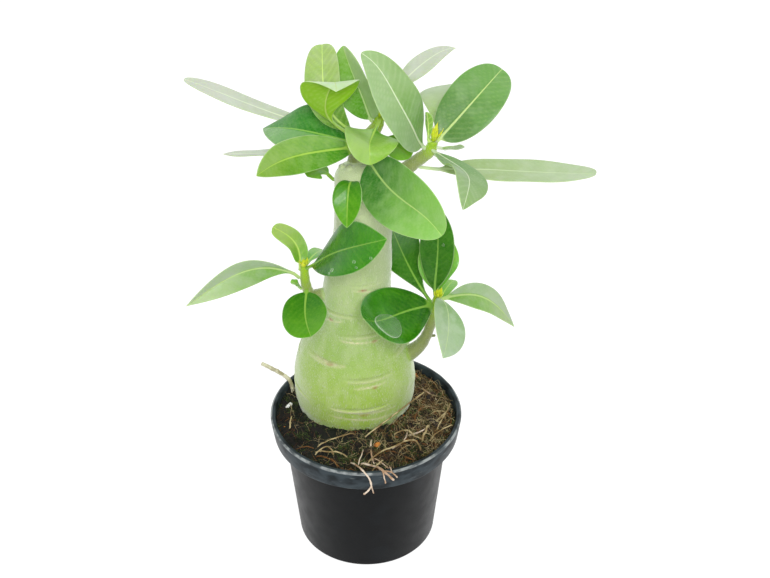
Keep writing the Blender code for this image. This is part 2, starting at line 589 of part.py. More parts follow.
PLACED_CHIP_SHARE = 0.6    # their size beside the others


def build_potting_mix():
    """The mix with a hole for the root, and the strands, chips and grit on it, all one piece."""
    mix = mesh_object("potting_mix", soil_body(), SOIL_FINISH, sharp=60)
    root = stem_skin(top=SCAR_RINGS[0] - 5, grow=ROOT_GAP)
    cut(mix, mesh_object("root_cutter", root))
    draw = random.Random(SOIL_SEED)
    paths = [[(Vector(point), radius) for point in points] for points, radius in PLACED_STRANDS]
    while len(paths) < STRANDS:
        path = strand_path(draw)
        if path:
            paths.append(path)
    pieces = [mesh_object("strand_%d" % k, swept(path, STRAND_SIDES)) for k, path in enumerate(paths)]
    pieces += [soil_chip(draw, place) for place in PLACED_CHIPS]
    while len(pieces) < STRANDS + CHIPS:
        chip = soil_chip(draw)
        if chip:
            pieces.append(chip)
    fuse(mix, pieces, "MANIFOLD")


def soil_chip(draw, place=None):
    """A flat chip of bark, tilted and half sunk in the mix, or None if a random one is blocked."""
    distance = draw.uniform(*CHIP_DISTANCE)
    start = draw.uniform(0, math.tau)
    spot = Vector((distance * math.cos(start), distance * math.sin(start), 0))
    size = Vector([draw.uniform(*span) for span in CHIP_SIZE])
    if place:
        spot = Vector((*place, 0))
        size *= PLACED_CHIP_SHARE
    spot.z = soil_height(spot.x, spot.y) + CHIP_LIFT
    turn = Matrix.Rotation(draw.uniform(0, math.tau), 4, "Z")
    tilt = Matrix.Rotation(draw.uniform(*CHIP_TILT), 4, "X")
    if not place and not is_clear(spot, size.length / 2):
        return None
    bm = bmesh.new()
    bmesh.ops.create_cube(bm, size=1, matrix=turn @ tilt @ Matrix.Diagonal((*size, 1)))
    return mesh_object("chip", bm, place=spot)


def leaf_frame(leaf, shoot):
    """The leaf's base, the straight line to its tip, and its directions up, right and out."""
    foot, radius = shoot_at(shoot, leaf.at)
    along = shoot_direction(shoot, leaf.at)
    if leaf.aim is None:
        out = Vector(leaf.tip) - foot
    else:
        out = Vector((math.cos(math.radians(leaf.aim)), math.sin(math.radians(leaf.aim)), 0))
    out = (out - along * out.dot(along)).normalized()
    base = foot + out * (radius + CLEARANCE)
    line = Vector(leaf.tip) - base
    ahead = line.normalized()
    up = (UP - ahead * ahead.z).normalized()
    return base, line, up, ahead.cross(up), out, along


def midrib_point(leaf, frame, u):
    """Point on the midrib, from the leaf's base, at a fraction of its length."""
    base, line, up, right, out, along = frame
    u = max(u, 0.0)
    rise = leaf.arch * math.sin(math.pi * u ** (math.log(0.5) / math.log(leaf.crest)))
    kick = STALK_KICK * line.length * u * (1 - u) ** 6
    return line * u + up * rise + right * (leaf.bend * math.sin(math.pi * u)) + out * kick


def half_width(leaf, t):
    """Half the blade's width at a fraction of the leaf's length."""
    along_blade = (t - leaf.stalk) / (1 - leaf.stalk)
    if along_blade <= 0:
        return STALK_WIDTH / 2
    end = leaf.blunt
    start = leaf.belly * end / (1 - leaf.belly)
    widest = leaf.belly ** start * (1 - leaf.belly) ** end
    share = along_blade ** start * (1 - along_blade) ** end / widest
    return max(leaf.width / 2 * share, STALK_WIDTH / 2 * (1 - along_blade))


def blade_point(leaf, frame, t, column):
    """Point in the middle of the blade's thickness, and the direction across that thickness."""
    step = 0.002
    up = frame[2]
    ahead = (midrib_point(leaf, frame, t + step) - midrib_point(leaf, frame, t - step)).normalized()
    right = ahead.cross(up).normalized()
    top = right.cross(ahead)
    roll, fold = math.radians(leaf.roll + leaf.twist * t), math.radians(leaf.fold)
    side = right * math.cos(roll) + top * math.sin(roll)
    top = top * math.cos(roll) - right * math.sin(roll)
    reach = abs(column) * half_width(leaf, t)
    sideways = math.copysign(reach * math.cos(fold), column)
    return midrib_point(leaf, frame, t) + side * sideways + top * (reach * math.sin(fold)), top


def leaf_mesh(leaf, frame):
    """A closed blade with the same triangles on both faces, from a stalk cut square at its base."""
    base, line, up, right, out, along = frame
    rows = BLADE_ROWS if leaf.width > SMALL_BLADE_WIDTH else SMALL_BLADE_ROWS
    bm = bmesh.new()
    upper, under = [], []
    for k in range(rows):
        t = BLADE_END * (1 - (1 - k / (rows - 1)) ** ROW_CROWDING)
        stalk = max(0.0, 1 - t / max(leaf.stalk * STALK_FADE, STALK_LEAST))
        blade = BLADE_THICKNESS / math.cos(math.radians(leaf.fold))
        half = (blade * (1 - stalk) + STALK_THICKNESS * stalk) / 2
        upper_row, under_row = [], []
        for column in BLADE_COLUMNS:
            point, top = blade_point(leaf, frame, t, column)
            if k == 0:
                top = along
                point = out.cross(top) * (column * STALK_WIDTH / 2)
            rib = MIDRIB_DEPTH * (1 - t) * (1 - stalk) if column == 0 else 0.0
            upper_row.append(bm.verts.new(point + top * half))
            under_row.append(bm.verts.new(point - top * (half + rib)))
        upper.append(upper_row)
        under.append(under_row)
    last = len(BLADE_COLUMNS) - 1
    for k in range(rows - 1):
        for j in range(last):
            for grid in (upper, under):
                bm.faces.new((grid[k][j], grid[k][j + 1], grid[k + 1][j + 1]))
                bm.faces.new((grid[k][j], grid[k + 1][j + 1], grid[k + 1][j]))
        for j in (0, last):
            bm.faces.new((upper[k][j], under[k][j], under[k + 1][j], upper[k + 1][j]))
    for k in (0, rows - 1):
        for j in range(last):
            bm.faces.new((upper[k][j], upper[k][j + 1], under[k][j + 1], under[k][j]))
    return bm


def build_leaves(shoot, holder):
    """The leaves of one shoot, each a piece of its own."""
    for number, leaf in enumerate(LEAVES[shoot], 1):
        frame = leaf_frame(leaf, shoot)
        mesh_object("leaf_%s_%d" % (shoot, number), leaf_mesh(leaf, frame), LEAF_FINISHES[shoot],
                    place=frame[0] - holder.location / MM, parent=holder)


def build_bud(shoot, length, holder):
    """A bud of young blades at the end of a shoot."""
    tip = shoot_at(shoot, 1.0)[0]
    along = shoot_direction(shoot, 1.0)
    bud = mesh_object("bud_" + shoot, spun(BUD_PROFILE, BUD_SIDES), BUD_FINISH)
    blades = []
    for k in range(BUD_BLADES):
        bm = bmesh.new()
        size = Matrix.Diagonal((1, BUD_BLADE_FLATNESS, 1, 1))
        middle = Matrix.Translation((0, 0, (length + BUD_BLADE_BASE) / 2))
        bmesh.ops.create_cone(bm, cap_ends=True, segments=BUD_BLADE_SIDES, radius1=BUD_BLADE_RADIUS,
                              radius2=BUD_BLADE_RADIUS * BUD_BLADE_TAPER,
                              depth=length - BUD_BLADE_BASE, matrix=size @ middle)
        lean = Matrix.Rotation(math.radians(BUD_BLADE_LEAN), 4, "X")
        turn = Matrix.Rotation(math.tau * (k + BUD_TURN) / BUD_BLADES, 4, "Z")
        bm.transform(turn @ Matrix.Translation((0, -BUD_BLADE_OFFSET, 0)) @ lean)
        blades.append(mesh_object("blade", bm))
    fuse(bud, blades)
    bud.parent = holder
    bud.location = (tip + along * CLEARANCE) * MM - holder.location
    bud.rotation_mode = "QUATERNION"
    bud.rotation_quaternion = along.to_track_quat("Z", "Y")


def build():
    """The whole object in an empty scene."""
    for thing in list(bpy.data.objects):
        bpy.data.objects.remove(thing)
    build_pot()
    build_potting_mix()
    build_caudex()
    for shoot in LEAVES:
        holder = bpy.data.objects.new("shoot_" + shoot, None)
        bpy.context.scene.collection.objects.link(holder)
        holder.location = shoot_at(shoot, 1.0)[0] * MM
        build_leaves(shoot, holder)
        if shoot in BUDS:
            build_bud(shoot, BUDS[shoot], holder)


build()
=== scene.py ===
"""The looks of a potted desert rose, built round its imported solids.

Lengths are in millimetres and angles in degrees until a mesh is finished, when mesh_piece() turns
the millimetres into metres. The origin is the centre of the pot's base, +Z is up and the plant's
front faces -Y. The pieces repeat the forms of the solids that they stand for, with finer faces.
"""
import logging
import random
from dataclasses import dataclass, field
from enum import Enum
from math import atan2, copysign, cos, degrees, exp, log, pi, radians, sin, sqrt, tan, tau
from typing import Any, Optional, Sequence

import bmesh
import bpy
from mathutils import Matrix, Vector, kdtree, noise


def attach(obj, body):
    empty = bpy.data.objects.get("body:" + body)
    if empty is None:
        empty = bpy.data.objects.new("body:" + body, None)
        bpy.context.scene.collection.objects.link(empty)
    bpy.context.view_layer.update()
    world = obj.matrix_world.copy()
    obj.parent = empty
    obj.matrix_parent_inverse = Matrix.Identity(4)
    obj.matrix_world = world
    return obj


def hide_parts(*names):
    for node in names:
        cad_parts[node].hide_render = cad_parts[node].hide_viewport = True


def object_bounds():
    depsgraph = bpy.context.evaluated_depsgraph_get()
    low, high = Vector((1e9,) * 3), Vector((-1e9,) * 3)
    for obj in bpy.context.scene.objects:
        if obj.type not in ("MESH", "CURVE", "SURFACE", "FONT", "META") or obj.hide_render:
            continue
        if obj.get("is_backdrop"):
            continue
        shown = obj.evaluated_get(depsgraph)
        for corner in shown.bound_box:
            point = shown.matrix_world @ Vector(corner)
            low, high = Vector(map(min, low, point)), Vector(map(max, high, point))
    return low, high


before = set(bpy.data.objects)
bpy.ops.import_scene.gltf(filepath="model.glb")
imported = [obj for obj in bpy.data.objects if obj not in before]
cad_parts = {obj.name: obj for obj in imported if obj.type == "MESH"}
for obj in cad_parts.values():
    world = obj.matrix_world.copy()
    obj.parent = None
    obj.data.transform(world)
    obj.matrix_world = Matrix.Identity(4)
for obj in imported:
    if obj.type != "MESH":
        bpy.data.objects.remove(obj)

SOLIDS_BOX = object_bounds()
BODY = "root"
MM = 0.001
UP = Vector((0, 0, 1))
CLEARANCE = 0.3            # between pieces that touch
SMALLEST = 1e-6            # keeps a division from zero
LOG = logging.getLogger("potted_desert_rose")

Points = Sequence[Sequence[float]]
Surface = tuple[list, list]        # points and faces
Thing = bpy.types.Object
Tree = bpy.types.NodeTree
Socket = bpy.types.NodeSocket

SMOOTH = {"interpolation_type": "SMOOTHSTEP"}


def linear(colour: str) -> tuple[float, float, float, float]:
    """The linear RGBA of an sRGB hex colour."""
    channels = [int(colour[k:k + 2], 16) / 255 for k in (1, 3, 5)]
    return (*(c / 12.92 if c <= 0.04045 else ((c + 0.055) / 1.055) ** 2.4 for c in channels), 1.0)


def smooth_step(value: float, low: float, high: float) -> float:
    """0 below low, 1 above high, and a smooth rise between them."""
    share = min(max((value - low) / (high - low), 0.0), 1.0)
    return share * share * (3 - 2 * share)


def bell(value: float) -> float:
    """1 at 0, falling to nothing on both sides."""
    return exp(-value * value)


def through(points: Points, x: float, column: int = 1) -> float:
    """A smooth curve through points that never overshoots between them.

    Args:
        points: Rows whose first number is the place along the curve.
        x: Where the curve is read.
        column: Which number of each row it is read from.

    Returns:
        The curve's value at x.
    """
    x = min(max(x, points[0][0]), points[-1][0])
    secants = [(b[column] - a[column]) / (b[0] - a[0]) for a, b in zip(points, points[1:])]

    def slope(i: int) -> float:
        """The curve's slope at one of the points."""
        before, after = secants[max(i - 1, 0)], secants[min(i, len(secants) - 1)]
        return 2 * before * after / (before + after) if before * after > 0 else 0.0

    k = next(i for i in range(len(secants)) if x <= points[i + 1][0])
    low, high = points[k], points[k + 1]
    span = high[0] - low[0]
    u = (x - low[0]) / span
    return ((1 + 2 * u) * (1 - u) ** 2 * low[column] + u * (1 - u) ** 2 * span * slope(k)
            + u * u * (3 - 2 * u) * high[column] - u * u * (1 - u) * span * slope(k + 1))


def along_curve(points: Points, fraction: float) -> Vector:
    """A point on a Catmull-Rom curve.

    Args:
        points: The points that the curve goes through, with as many numbers each as they need.
        fraction: How far along the curve, 0 to 1.

    Returns:
        The curve's value there, with as many numbers as the points have.
    """
    rows = [Vector(row) for row in points]
    last = len(rows) - 1
    x = min(max(fraction, 0.0), 1.0) * last
    k = min(int(x), last - 1)
    u = x - k
    start, end = rows[k], rows[k + 1]
    leaving = (end - rows[max(k - 1, 0)]) / 2
    arriving = (rows[min(k + 2, last)] - start) / 2
    return ((2 * u ** 3 - 3 * u ** 2 + 1) * start + (u ** 3 - 2 * u ** 2 + u) * leaving
            + (3 * u ** 2 - 2 * u ** 3) * end + (u ** 3 - u ** 2) * arriving)


def add_object(name: str, data: Any) -> Thing:
    """A new object in the scene.

    Args:
        name: The object's name.
        data: Its mesh, light or camera.

    Returns:
        The object, at the origin.
    """
    thing = bpy.data.objects.new(name, data)
    bpy.context.scene.collection.objects.link(thing)
    return thing


def face_outwards(thing: Thing) -> None:
    """Turns a closed mesh's faces outwards.

    Args:
        thing: The object whose mesh it is.
    """
    bm = bmesh.new()
    bm.from_mesh(thing.data)
    bmesh.ops.recalc_face_normals(bm, faces=bm.faces)
    bm.to_mesh(thing.data)
    bm.free()


def note(thing: Thing, numbers: dict[str, Sequence[float]]) -> None:
    """Gives each point of a mesh its own numbers, which the materials read by attribute name."""
    for label, values in numbers.items():
        thing.data.attributes.new(label, "FLOAT", "POINT").data.foreach_set("value", values)


def mesh_piece(name: str, surface: Surface, numbers: Optional[dict[str, Sequence[float]]] = None,
               closed: bool = True) -> Thing:
    """A smooth object in metres from points in millimetres.

    Args:
        name: The object's name.
        surface: The points, and the faces by point number.
        numbers: The points' own numbers, as note() takes them.
        closed: Whether the surface is closed, so that its faces can be turned outwards.

    Returns:
        The object, at the origin, with its place in its mesh.
    """
    points, faces = surface
    mesh = bpy.data.meshes.new(name)
    mesh.from_pydata([tuple(MM * value for value in point) for point in points], [], faces)
    thing = add_object(name, mesh)
    note(thing, numbers or {})
    mesh.shade_smooth()
    if closed:
        face_outwards(thing)
    return thing


def lofted(rings: Sequence[Sequence[Sequence[float]]], capped: bool = True) -> Surface:
    """A skin over closed rings of equal counts.

    Args:
        rings: The rings, each a list of points.
        capped: Whether the first and the last ring are closed with a cap.

    Returns:
        The points and the faces.
    """
    count = len(rings[0])
    points = [point for ring in rings for point in ring]
    faces = [(k * count + j, k * count + (j + 1) % count, (k + 1) * count + (j + 1) % count,
              (k + 1) * count + j) for k in range(len(rings) - 1) for j in range(count)]
    if capped:
        faces += [tuple(reversed(range(count))), tuple(range(len(points) - count, len(points)))]
    return points, faces


def tube(path: Sequence[tuple[Vector, float]], sides: int) -> Surface:
    """A round tube that doesn't twist.

    Args:
        path: The tube's (point, radius) pairs.
        sides: How many sides it has.

    Returns:
        The points and the faces.
    """
    points = [point for point, radius in path]
    across: Optional[Vector] = None
    rings = []
    for k, (point, radius) in enumerate(path):
        along = (points[min(k + 1, len(points) - 1)] - points[max(k - 1, 0)]).normalized()
        across = along.orthogonal() if across is None else across - along * across.dot(along)
        across.normalize()
        beside = along.cross(across)
        turns = [tau * j / sides for j in range(sides)]
        rings.append([point + radius * (across * cos(a) + beside * sin(a)) for a in turns])
    return lofted(rings)


def rounded(corners: Sequence[tuple[float, float, float]], steps: int = 4) -> list[tuple[float, float]]:
    """An outline whose corners are rounded with arcs.

    Args:
        corners: (x, y, radius) of each corner in order, with radius 0 where it stays sharp.
        steps: How many straight pieces each arc has.

    Returns:
        The outline's points.
    """
    outline: list[tuple[float, float]] = []
    for k, (x, y, radius) in enumerate(corners):
        corner = Vector((x, y))
        if radius <= 0:
            outline.append((x, y))
            continue
        before = (Vector(corners[k - 1][:2]) - corner).normalized()
        after = (Vector(corners[(k + 1) % len(corners)][:2]) - corner).normalized()
        half = before.angle(after) / 2
        reach = radius / tan(half)
        centre = corner + (before + after).normalized() * (radius / sin(half))
        first, last = corner + before * reach - centre, corner + after * reach - centre
        outline += [tuple(centre + first.slerp(last, step / steps)) for step in range(steps + 1)]
    return outline


def dress(piece: Thing, finish: "Finish", *nodes: str) -> Thing:
    """Gives a piece its finish, body and material slot, and hides the solids that it stands for.

    Args:
        piece: The finished piece.
        finish: What its surface is made of.
        *nodes: The solids that it replaces.

    Returns:
        The piece.
    """
    if not piece.data.materials:
        piece.data.materials.append(finish.material())
    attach(piece, BODY)
    if nodes:
        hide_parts(*nodes)
    LOG.info("%s: %d faces", piece.name, len(piece.data.polygons))
    return piece


@dataclass
class Wiring:
    """A node tree that nodes are added to."""
    tree: Tree

    def feed(self, node: bpy.types.Node, inputs: Any) -> None:
        """Gives a node its inputs.

        Args:
            node: The node.
            inputs: Outputs or plain values, in the order of its inputs or by their name or number.
        """
        for place, value in inputs.items() if isinstance(inputs, dict) else enumerate(inputs):
            if isinstance(value, Socket):
                self.tree.links.new(value, node.inputs[place])
            else:
                node.inputs[place].default_value = value

    def add(self, kind: str, inputs: Any = (), output: Any = 0, **settings: Any) -> Optional[Socket]:
        """Adds a node.

        Args:
            kind: The node's type, by Blender's name for it.
            inputs: Outputs or plain values, in the order of its inputs or by their name or number.
            output: Which of its outputs is wanted, by name or number.
            **settings: The node's own properties.

        Returns:
            That output, or None where the node has none.
        """
        made = self.tree.nodes.new(kind)
        for name, value in settings.items():
            setattr(made, name, value)
        self.feed(made, inputs)
        return made.outputs[output] if made.outputs else None


class GeometryTree(Wiring):
    """A Geometry Nodes tree with named inputs, which is run once and leaves a plain mesh."""

    def __init__(self, name: str, sizes: Sequence[str], counts: Sequence[str] = ("Seed",)) -> None:
        """Starts the tree, which has a surface and a finish as inputs besides those named.

        Args:
            name: The tree's name.
            sizes: The names of the inputs that are sizes or shares.
            counts: The names of the inputs that are whole numbers.
        """
        super().__init__(bpy.data.node_groups.new(name, "GeometryNodeTree"))
        kinds = {"Surface": "Geometry", **dict.fromkeys(sizes, "Float"), **dict.fromkeys(counts, "Int"),
                 "Finish": "Material"}
        for label, kind in kinds.items():
            self.tree.interface.new_socket(label, in_out="INPUT", socket_type="NodeSocket" + kind)
        self.tree.interface.new_socket("Result", in_out="OUTPUT", socket_type="NodeSocketGeometry")
        self.given = self.tree.nodes.new("NodeGroupInput").outputs

    def copies(self, points: Socket, shape: Socket, angles: Socket, scale: Socket) -> Socket:
        """Copies of a shape on points, each a mesh or curve of its own.

        Args:
            points: The points.
            shape: What is copied.
            angles: How each copy is turned, about X, Y and Z.
            scale: How large each copy is.

        Returns:
            The copies.
        """
        turn = self.add("FunctionNodeEulerToRotation", (angles,))
        placed = self.add("GeometryNodeInstanceOnPoints", {
            "Points": points, "Instance": shape, "Rotation": turn, "Scale": scale})
        return self.add("GeometryNodeRealizeInstances", (placed,))

    def ripple(self, strength: Socket, **pattern: Any) -> Socket:
        """A shift to all sides by noise.

        Args:
            strength: What the noise is multiplied by, whose parts go from -0.5 to 0.5.
            **pattern: The noise's own inputs.

        Returns:
            The shift.
        """
        noisy = self.add("ShaderNodeTexNoise", pattern, "Color")
        middle = self.add("ShaderNodeVectorMath", (noisy, (0.5, 0.5, 0.5)), operation="SUBTRACT")
        return self.add("ShaderNodeVectorMath", {0: middle, "Scale": strength}, operation="SCALE")

    def close(self, geometry: Socket) -> "GeometryTree":
        """Ends the tree in Realize Instances and Set Material.

        Args:
            geometry: What the tree has made.

        Returns:
            The tree.
        """
        real = self.add("GeometryNodeRealizeInstances", (geometry,))
        self.add("NodeGroupOutput", (self.add("GeometryNodeSetMaterial", {
            "Geometry": real, "Material": self.given["Finish"]}),))
        return self

    def run(self, name: str, host: Thing, finish: "Finish", values: dict[str, Any]) -> Thing:
        """Runs the tree on an object and keeps the result as a plain mesh.

        Args:
            name: The new piece's name.
            host: The object whose mesh is the tree's surface. It stays as it is.
            finish: What the result is made of.
            values: The tree's inputs by name.

        Returns:
            The new piece, at the origin.
        """
        modifier = host.modifiers.new(name, "NODES")
        modifier.node_group = self.tree
        given = {**values, "Finish": finish.material()}
        for item in self.tree.interface.items_tree:
            if item.item_type == "SOCKET" and item.in_out == "INPUT" and item.name in given:
                modifier[item.identifier] = given[item.name]
        bpy.context.view_layer.update()
        graph = bpy.context.evaluated_depsgraph_get()
        mesh = bpy.data.meshes.new_from_object(host.evaluated_get(graph))
        host.modifiers.remove(modifier)
        mesh.name = name
        mesh.shade_smooth()
        return add_object(name, mesh)


@dataclass
class Brush(Wiring):
    """A material's tree, with the patterns that the finishes share."""

    def __post_init__(self) -> None:
        """Finds the place of each point in its object."""
        self.place = self.add("ShaderNodeTexCoord", (), "Object")
        self.height = self.add("ShaderNodeSeparateXYZ", (self.place,), "Z")

    def grain(self, size: float, stretch: Sequence[float] = (1, 1, 1), detail: float = 2.0) -> Socket:
        """Noise on object coordinates.

        Args:
            size: The size of one patch in millimetres.
            stretch: How many times longer a patch is along X, Y and Z.
            detail: How much finer noise is laid over it.

        Returns:
            The noise, about 0.3 to 0.7.
        """
        spot = self.add("ShaderNodeMapping", {
            "Vector": self.place, "Scale": [1 / (size * MM * factor) for factor in stretch]})
        return self.add("ShaderNodeTexNoise", {"Vector": spot, "Scale": 1.0, "Detail": detail}, "Fac")

    def patches(self, size: float, low: float, high: float, bottom: float = 0.0, top: float = 1.0,
                stretch: Sequence[float] = (1, 1, 1), detail: float = 2.0) -> Socket:
        """A value that goes from bottom to top where the noise of grain() goes from low to high."""
        return self.add("ShaderNodeMapRange", (self.grain(size, stretch, detail), low, high, bottom, top),
                        **SMOOTH)

    def layers(self, colour: Any, *laid: tuple) -> Socket:
        """A colour with others laid over it in turn.

        Args:
            colour: The lowest colour, as a hex value or an output.
            *laid: For each other colour a row of it, its share and what multiplies that share.

        Returns:
            The colour.
        """
        for over, share, *factors in laid:
            for factor in factors:
                share = self.add("ShaderNodeMath", (share, factor), operation="MULTIPLY")
            first, second = (linear(side) if isinstance(side, str) else side for side in (colour, over))
            colour = self.add("ShaderNodeMix", {0: share, 6: first, 7: second}, 2, data_type="RGBA")
        return colour

    def finish(self, inputs: dict[str, Any], height: Socket, depth: float) -> None:
        """Feeds the shader, and its normal from a height pattern in which 1 is depth millimetres."""
        normal = self.add("ShaderNodeBump", {"Strength": 1.0, "Distance": depth * MM, "Height": height})
        self.feed(self.tree.nodes["Principled BSDF"], {**inputs, "Normal": normal})


@dataclass(frozen=True)
class Finish:
    """What a surface is made of. A subclass paints its colour, roughness and relief."""
    name: str
    slot: str

    def material(self) -> bpy.types.Material:
        """The finish's material, made the first time that it is asked for.

        Returns:
            The material.
        """
        made = bpy.data.materials.get(self.name)
        if not made:
            made = bpy.data.materials.new(self.name)
            made.use_nodes = True
            self.paint(Brush(made.node_tree))
        return made

    def paint(self, brush: Brush) -> None:
        """Feeds the shader."""
        raise NotImplementedError


@dataclass(frozen=True)
class MouldedPolypropylene(Finish):
    """Black injection-moulded polypropylene: near black, with painted sheen greying its band and rim."""
    colour: str = "#07090B"
    dusty: str = "#0B0F12"
    # painted sheen: the grey that the band and rim show where they reflect the light
    painted_band_sheen: str = "#384146"
    # wear on the band, and wear with a painted highlight along the rim's edge
    wear_and_highlight: str = "#B4B9B8"
    roughness: tuple[float, float] = (0.34, 0.4)
    band: float = 69.5             # height of the band's foot
    rim: tuple[float, float] = (51.9, 80.7)     # radius and height past which the rim's edge is pale with wear and a painted highlight
    moulding: float = 0.9          # real moulding grain is finer than the picture shows

    def paint(self, brush: Brush) -> None:
        """Black with dusty patches, painted sheen on the band, a pale rim edge of wear and painted
        highlight, fine grain.

        Args:
            brush: The material's tree.
        """
        flat = brush.add("ShaderNodeVectorMath", (brush.place, (1, 1, 0)), operation="MULTIPLY")
        radius = brush.add("ShaderNodeVectorMath", (flat,), "Value", operation="LENGTH")
        band, beyond, above = (
            brush.add("ShaderNodeMapRange", (value, (start - before) * MM, (start + after) * MM), **SMOOTH)
            for value, start, before, after in (
                (brush.height, self.band, 0.6, 0.2), (radius, self.rim[0], 0.25, 0.25),
                (brush.height, self.rim[1], 0.4, 0.3)))
        # pale patches along the rim's edge: wear with a painted highlight
        rim_wear_and_highlight = brush.patches(6, 0.4, 0.6, 0.2, 1.0, (1, 1, 0.4), 6)
        scratches = brush.patches(1.6, 0.64, 0.76, 0, 0.3, (6, 6, 1), 4)
        edge = brush.add("ShaderNodeMath", (beyond, above), operation="MULTIPLY")
        rim = brush.add("ShaderNodeMath", (edge, rim_wear_and_highlight), operation="MULTIPLY")
        scratched = brush.add("ShaderNodeMath", (band, scratches), operation="MULTIPLY")
        marks = brush.add("ShaderNodeMath", (rim, scratched), operation="MAXIMUM")
        colour = brush.layers(
            self.colour, (self.dusty, brush.patches(14, 0.48, 0.72, detail=5)),
            (self.painted_band_sheen, band, brush.patches(9, 0.34, 0.62, 0.25, 1.0, (1, 1, 0.6), 5)),
            (self.wear_and_highlight, marks, 0.7))
        brush.finish({
            "Base Color": colour, "Roughness": brush.patches(8, 0.35, 0.65, *self.roughness, detail=4),
            "Specular IOR Level": 0.08}, brush.grain(self.moulding, detail=3), 0.04)


@dataclass(frozen=True)
class PeatMix(Finish):
    """Damp peat and bark fines: nearly black, matt, with brown crumbs and a green film of algae."""
    colour: str = "#0E0D09"
    brown: str = "#1E150D"
    algae: str = "#12180A"

    def paint(self, brush: Brush) -> None:
        """Dark patches with brown crumbs and green patches, and coarse relief.

        Args:
            brush: The material's tree.
        """
        colour = brush.layers(self.colour, (self.brown, brush.patches(2.2, 0.45, 0.66, detail=5)),
                              (self.algae, brush.patches(11, 0.48, 0.6, detail=3), 0.85))
        brush.finish({"Base Color": colour, "Roughness": 0.92}, brush.grain(1.1, detail=6), 0.6)


@dataclass(frozen=True)
class PlantFibre(Finish):
    """Dry fibre, such as coir, straw, roots or bark: matt, in two tones along and between strands."""
    dark: str
    pale: str
    patch: float                   # the size of a patch of one tone

    def paint(self, brush: Brush) -> None:
        """Two tones in patches, with a fine grain."""
        colour = brush.layers(self.dark, (self.pale, brush.patches(self.patch, 0.38, 0.62, detail=3)))
        brush.finish({"Base Color": colour, "Roughness": 0.75}, brush.grain(0.4), 0.08)


@dataclass(frozen=True)
class CaudexSkin(Finish):
    """Thin living bark: waxy and matt, grey-green above and fresh green below, with corky scars."""
    top: str = "#C4D0A2"
    middle: str = "#99B762"
    bottom: str = "#9EBE48"
    haze: str = "#D3D8B4"
    fleck: str = "#DDE8BC"
    shoot: str = "#8F9A5C"
    young: str = "#9BC21C"
    cork: str = "#E0D9B4"
    scar: str = "#9E6A4A"
    crease: str = "#76803C"
    heights: tuple[float, float, float] = (98, 138, 203)    # of the bottom, middle and top colours
    wander: float = 30.0           # how far the borders of these colours wander up and down

    def paint(self, brush: Brush) -> None:
        """A gradient up the stem with flecks, corky ledges, scars and creases over it.

        Args:
            brush: The material's tree.
        """
        ledge, line, scar, crease, on_shoot, young = (
            brush.add("ShaderNodeAttribute", (), "Fac", attribute_name=label)
            for label in ("ledge", "line", "scar", "crease", "on_shoot", "young"))
        wandering = brush.add("ShaderNodeMath", (
            brush.grain(16, detail=3), self.wander * MM, brush.height), operation="MULTIPLY_ADD")
        levels = [(height + self.wander / 2) * MM for height in self.heights]
        lower, upper = (brush.add("ShaderNodeMapRange", (wandering, *levels[k:k + 2]), **SMOOTH)
                        for k in (0, 1))
        flecks = brush.patches(0.4, 0.6, 0.7, stretch=(1, 1, 4.5), detail=1)
        ragged = brush.patches(1.2, 0.4, 0.6, 0.35, 1.0, (1, 1, 0.5), 3)
        bark = brush.layers(self.shoot, (self.young, young))
        colour = brush.layers(
            self.bottom, (self.middle, lower), (self.top, upper),
            (self.haze, brush.patches(6, 0.4, 0.64, stretch=(1, 1, 2.2), detail=3), 0.2),
            (self.fleck, flecks, 0.5),
            (self.crease, brush.patches(0.7, 0.36, 0.28, stretch=(1, 1, 2.2)), 0.35),
            (self.cork, ledge), (self.cork, line, ragged), (self.scar, scar, ragged),
            (self.crease, crease), (bark, on_shoot))
        relief = brush.add("ShaderNodeMath", (flecks, 0.5, brush.grain(0.9, (1, 1, 1.8), 4)),
                           operation="MULTIPLY_ADD")
        brush.finish({
            "Base Color": colour, "Roughness": brush.patches(3, 0.35, 0.65, 0.42, 0.6, detail=4),
            "IOR": 1.42, "Sheen Weight": 0.8, "Sheen Roughness": 0.4, "Subsurface Weight": 0.15,
            "Subsurface Radius": (1.0, 1.0, 0.4), "Subsurface Scale": 1.5 * MM}, relief, 0.34)


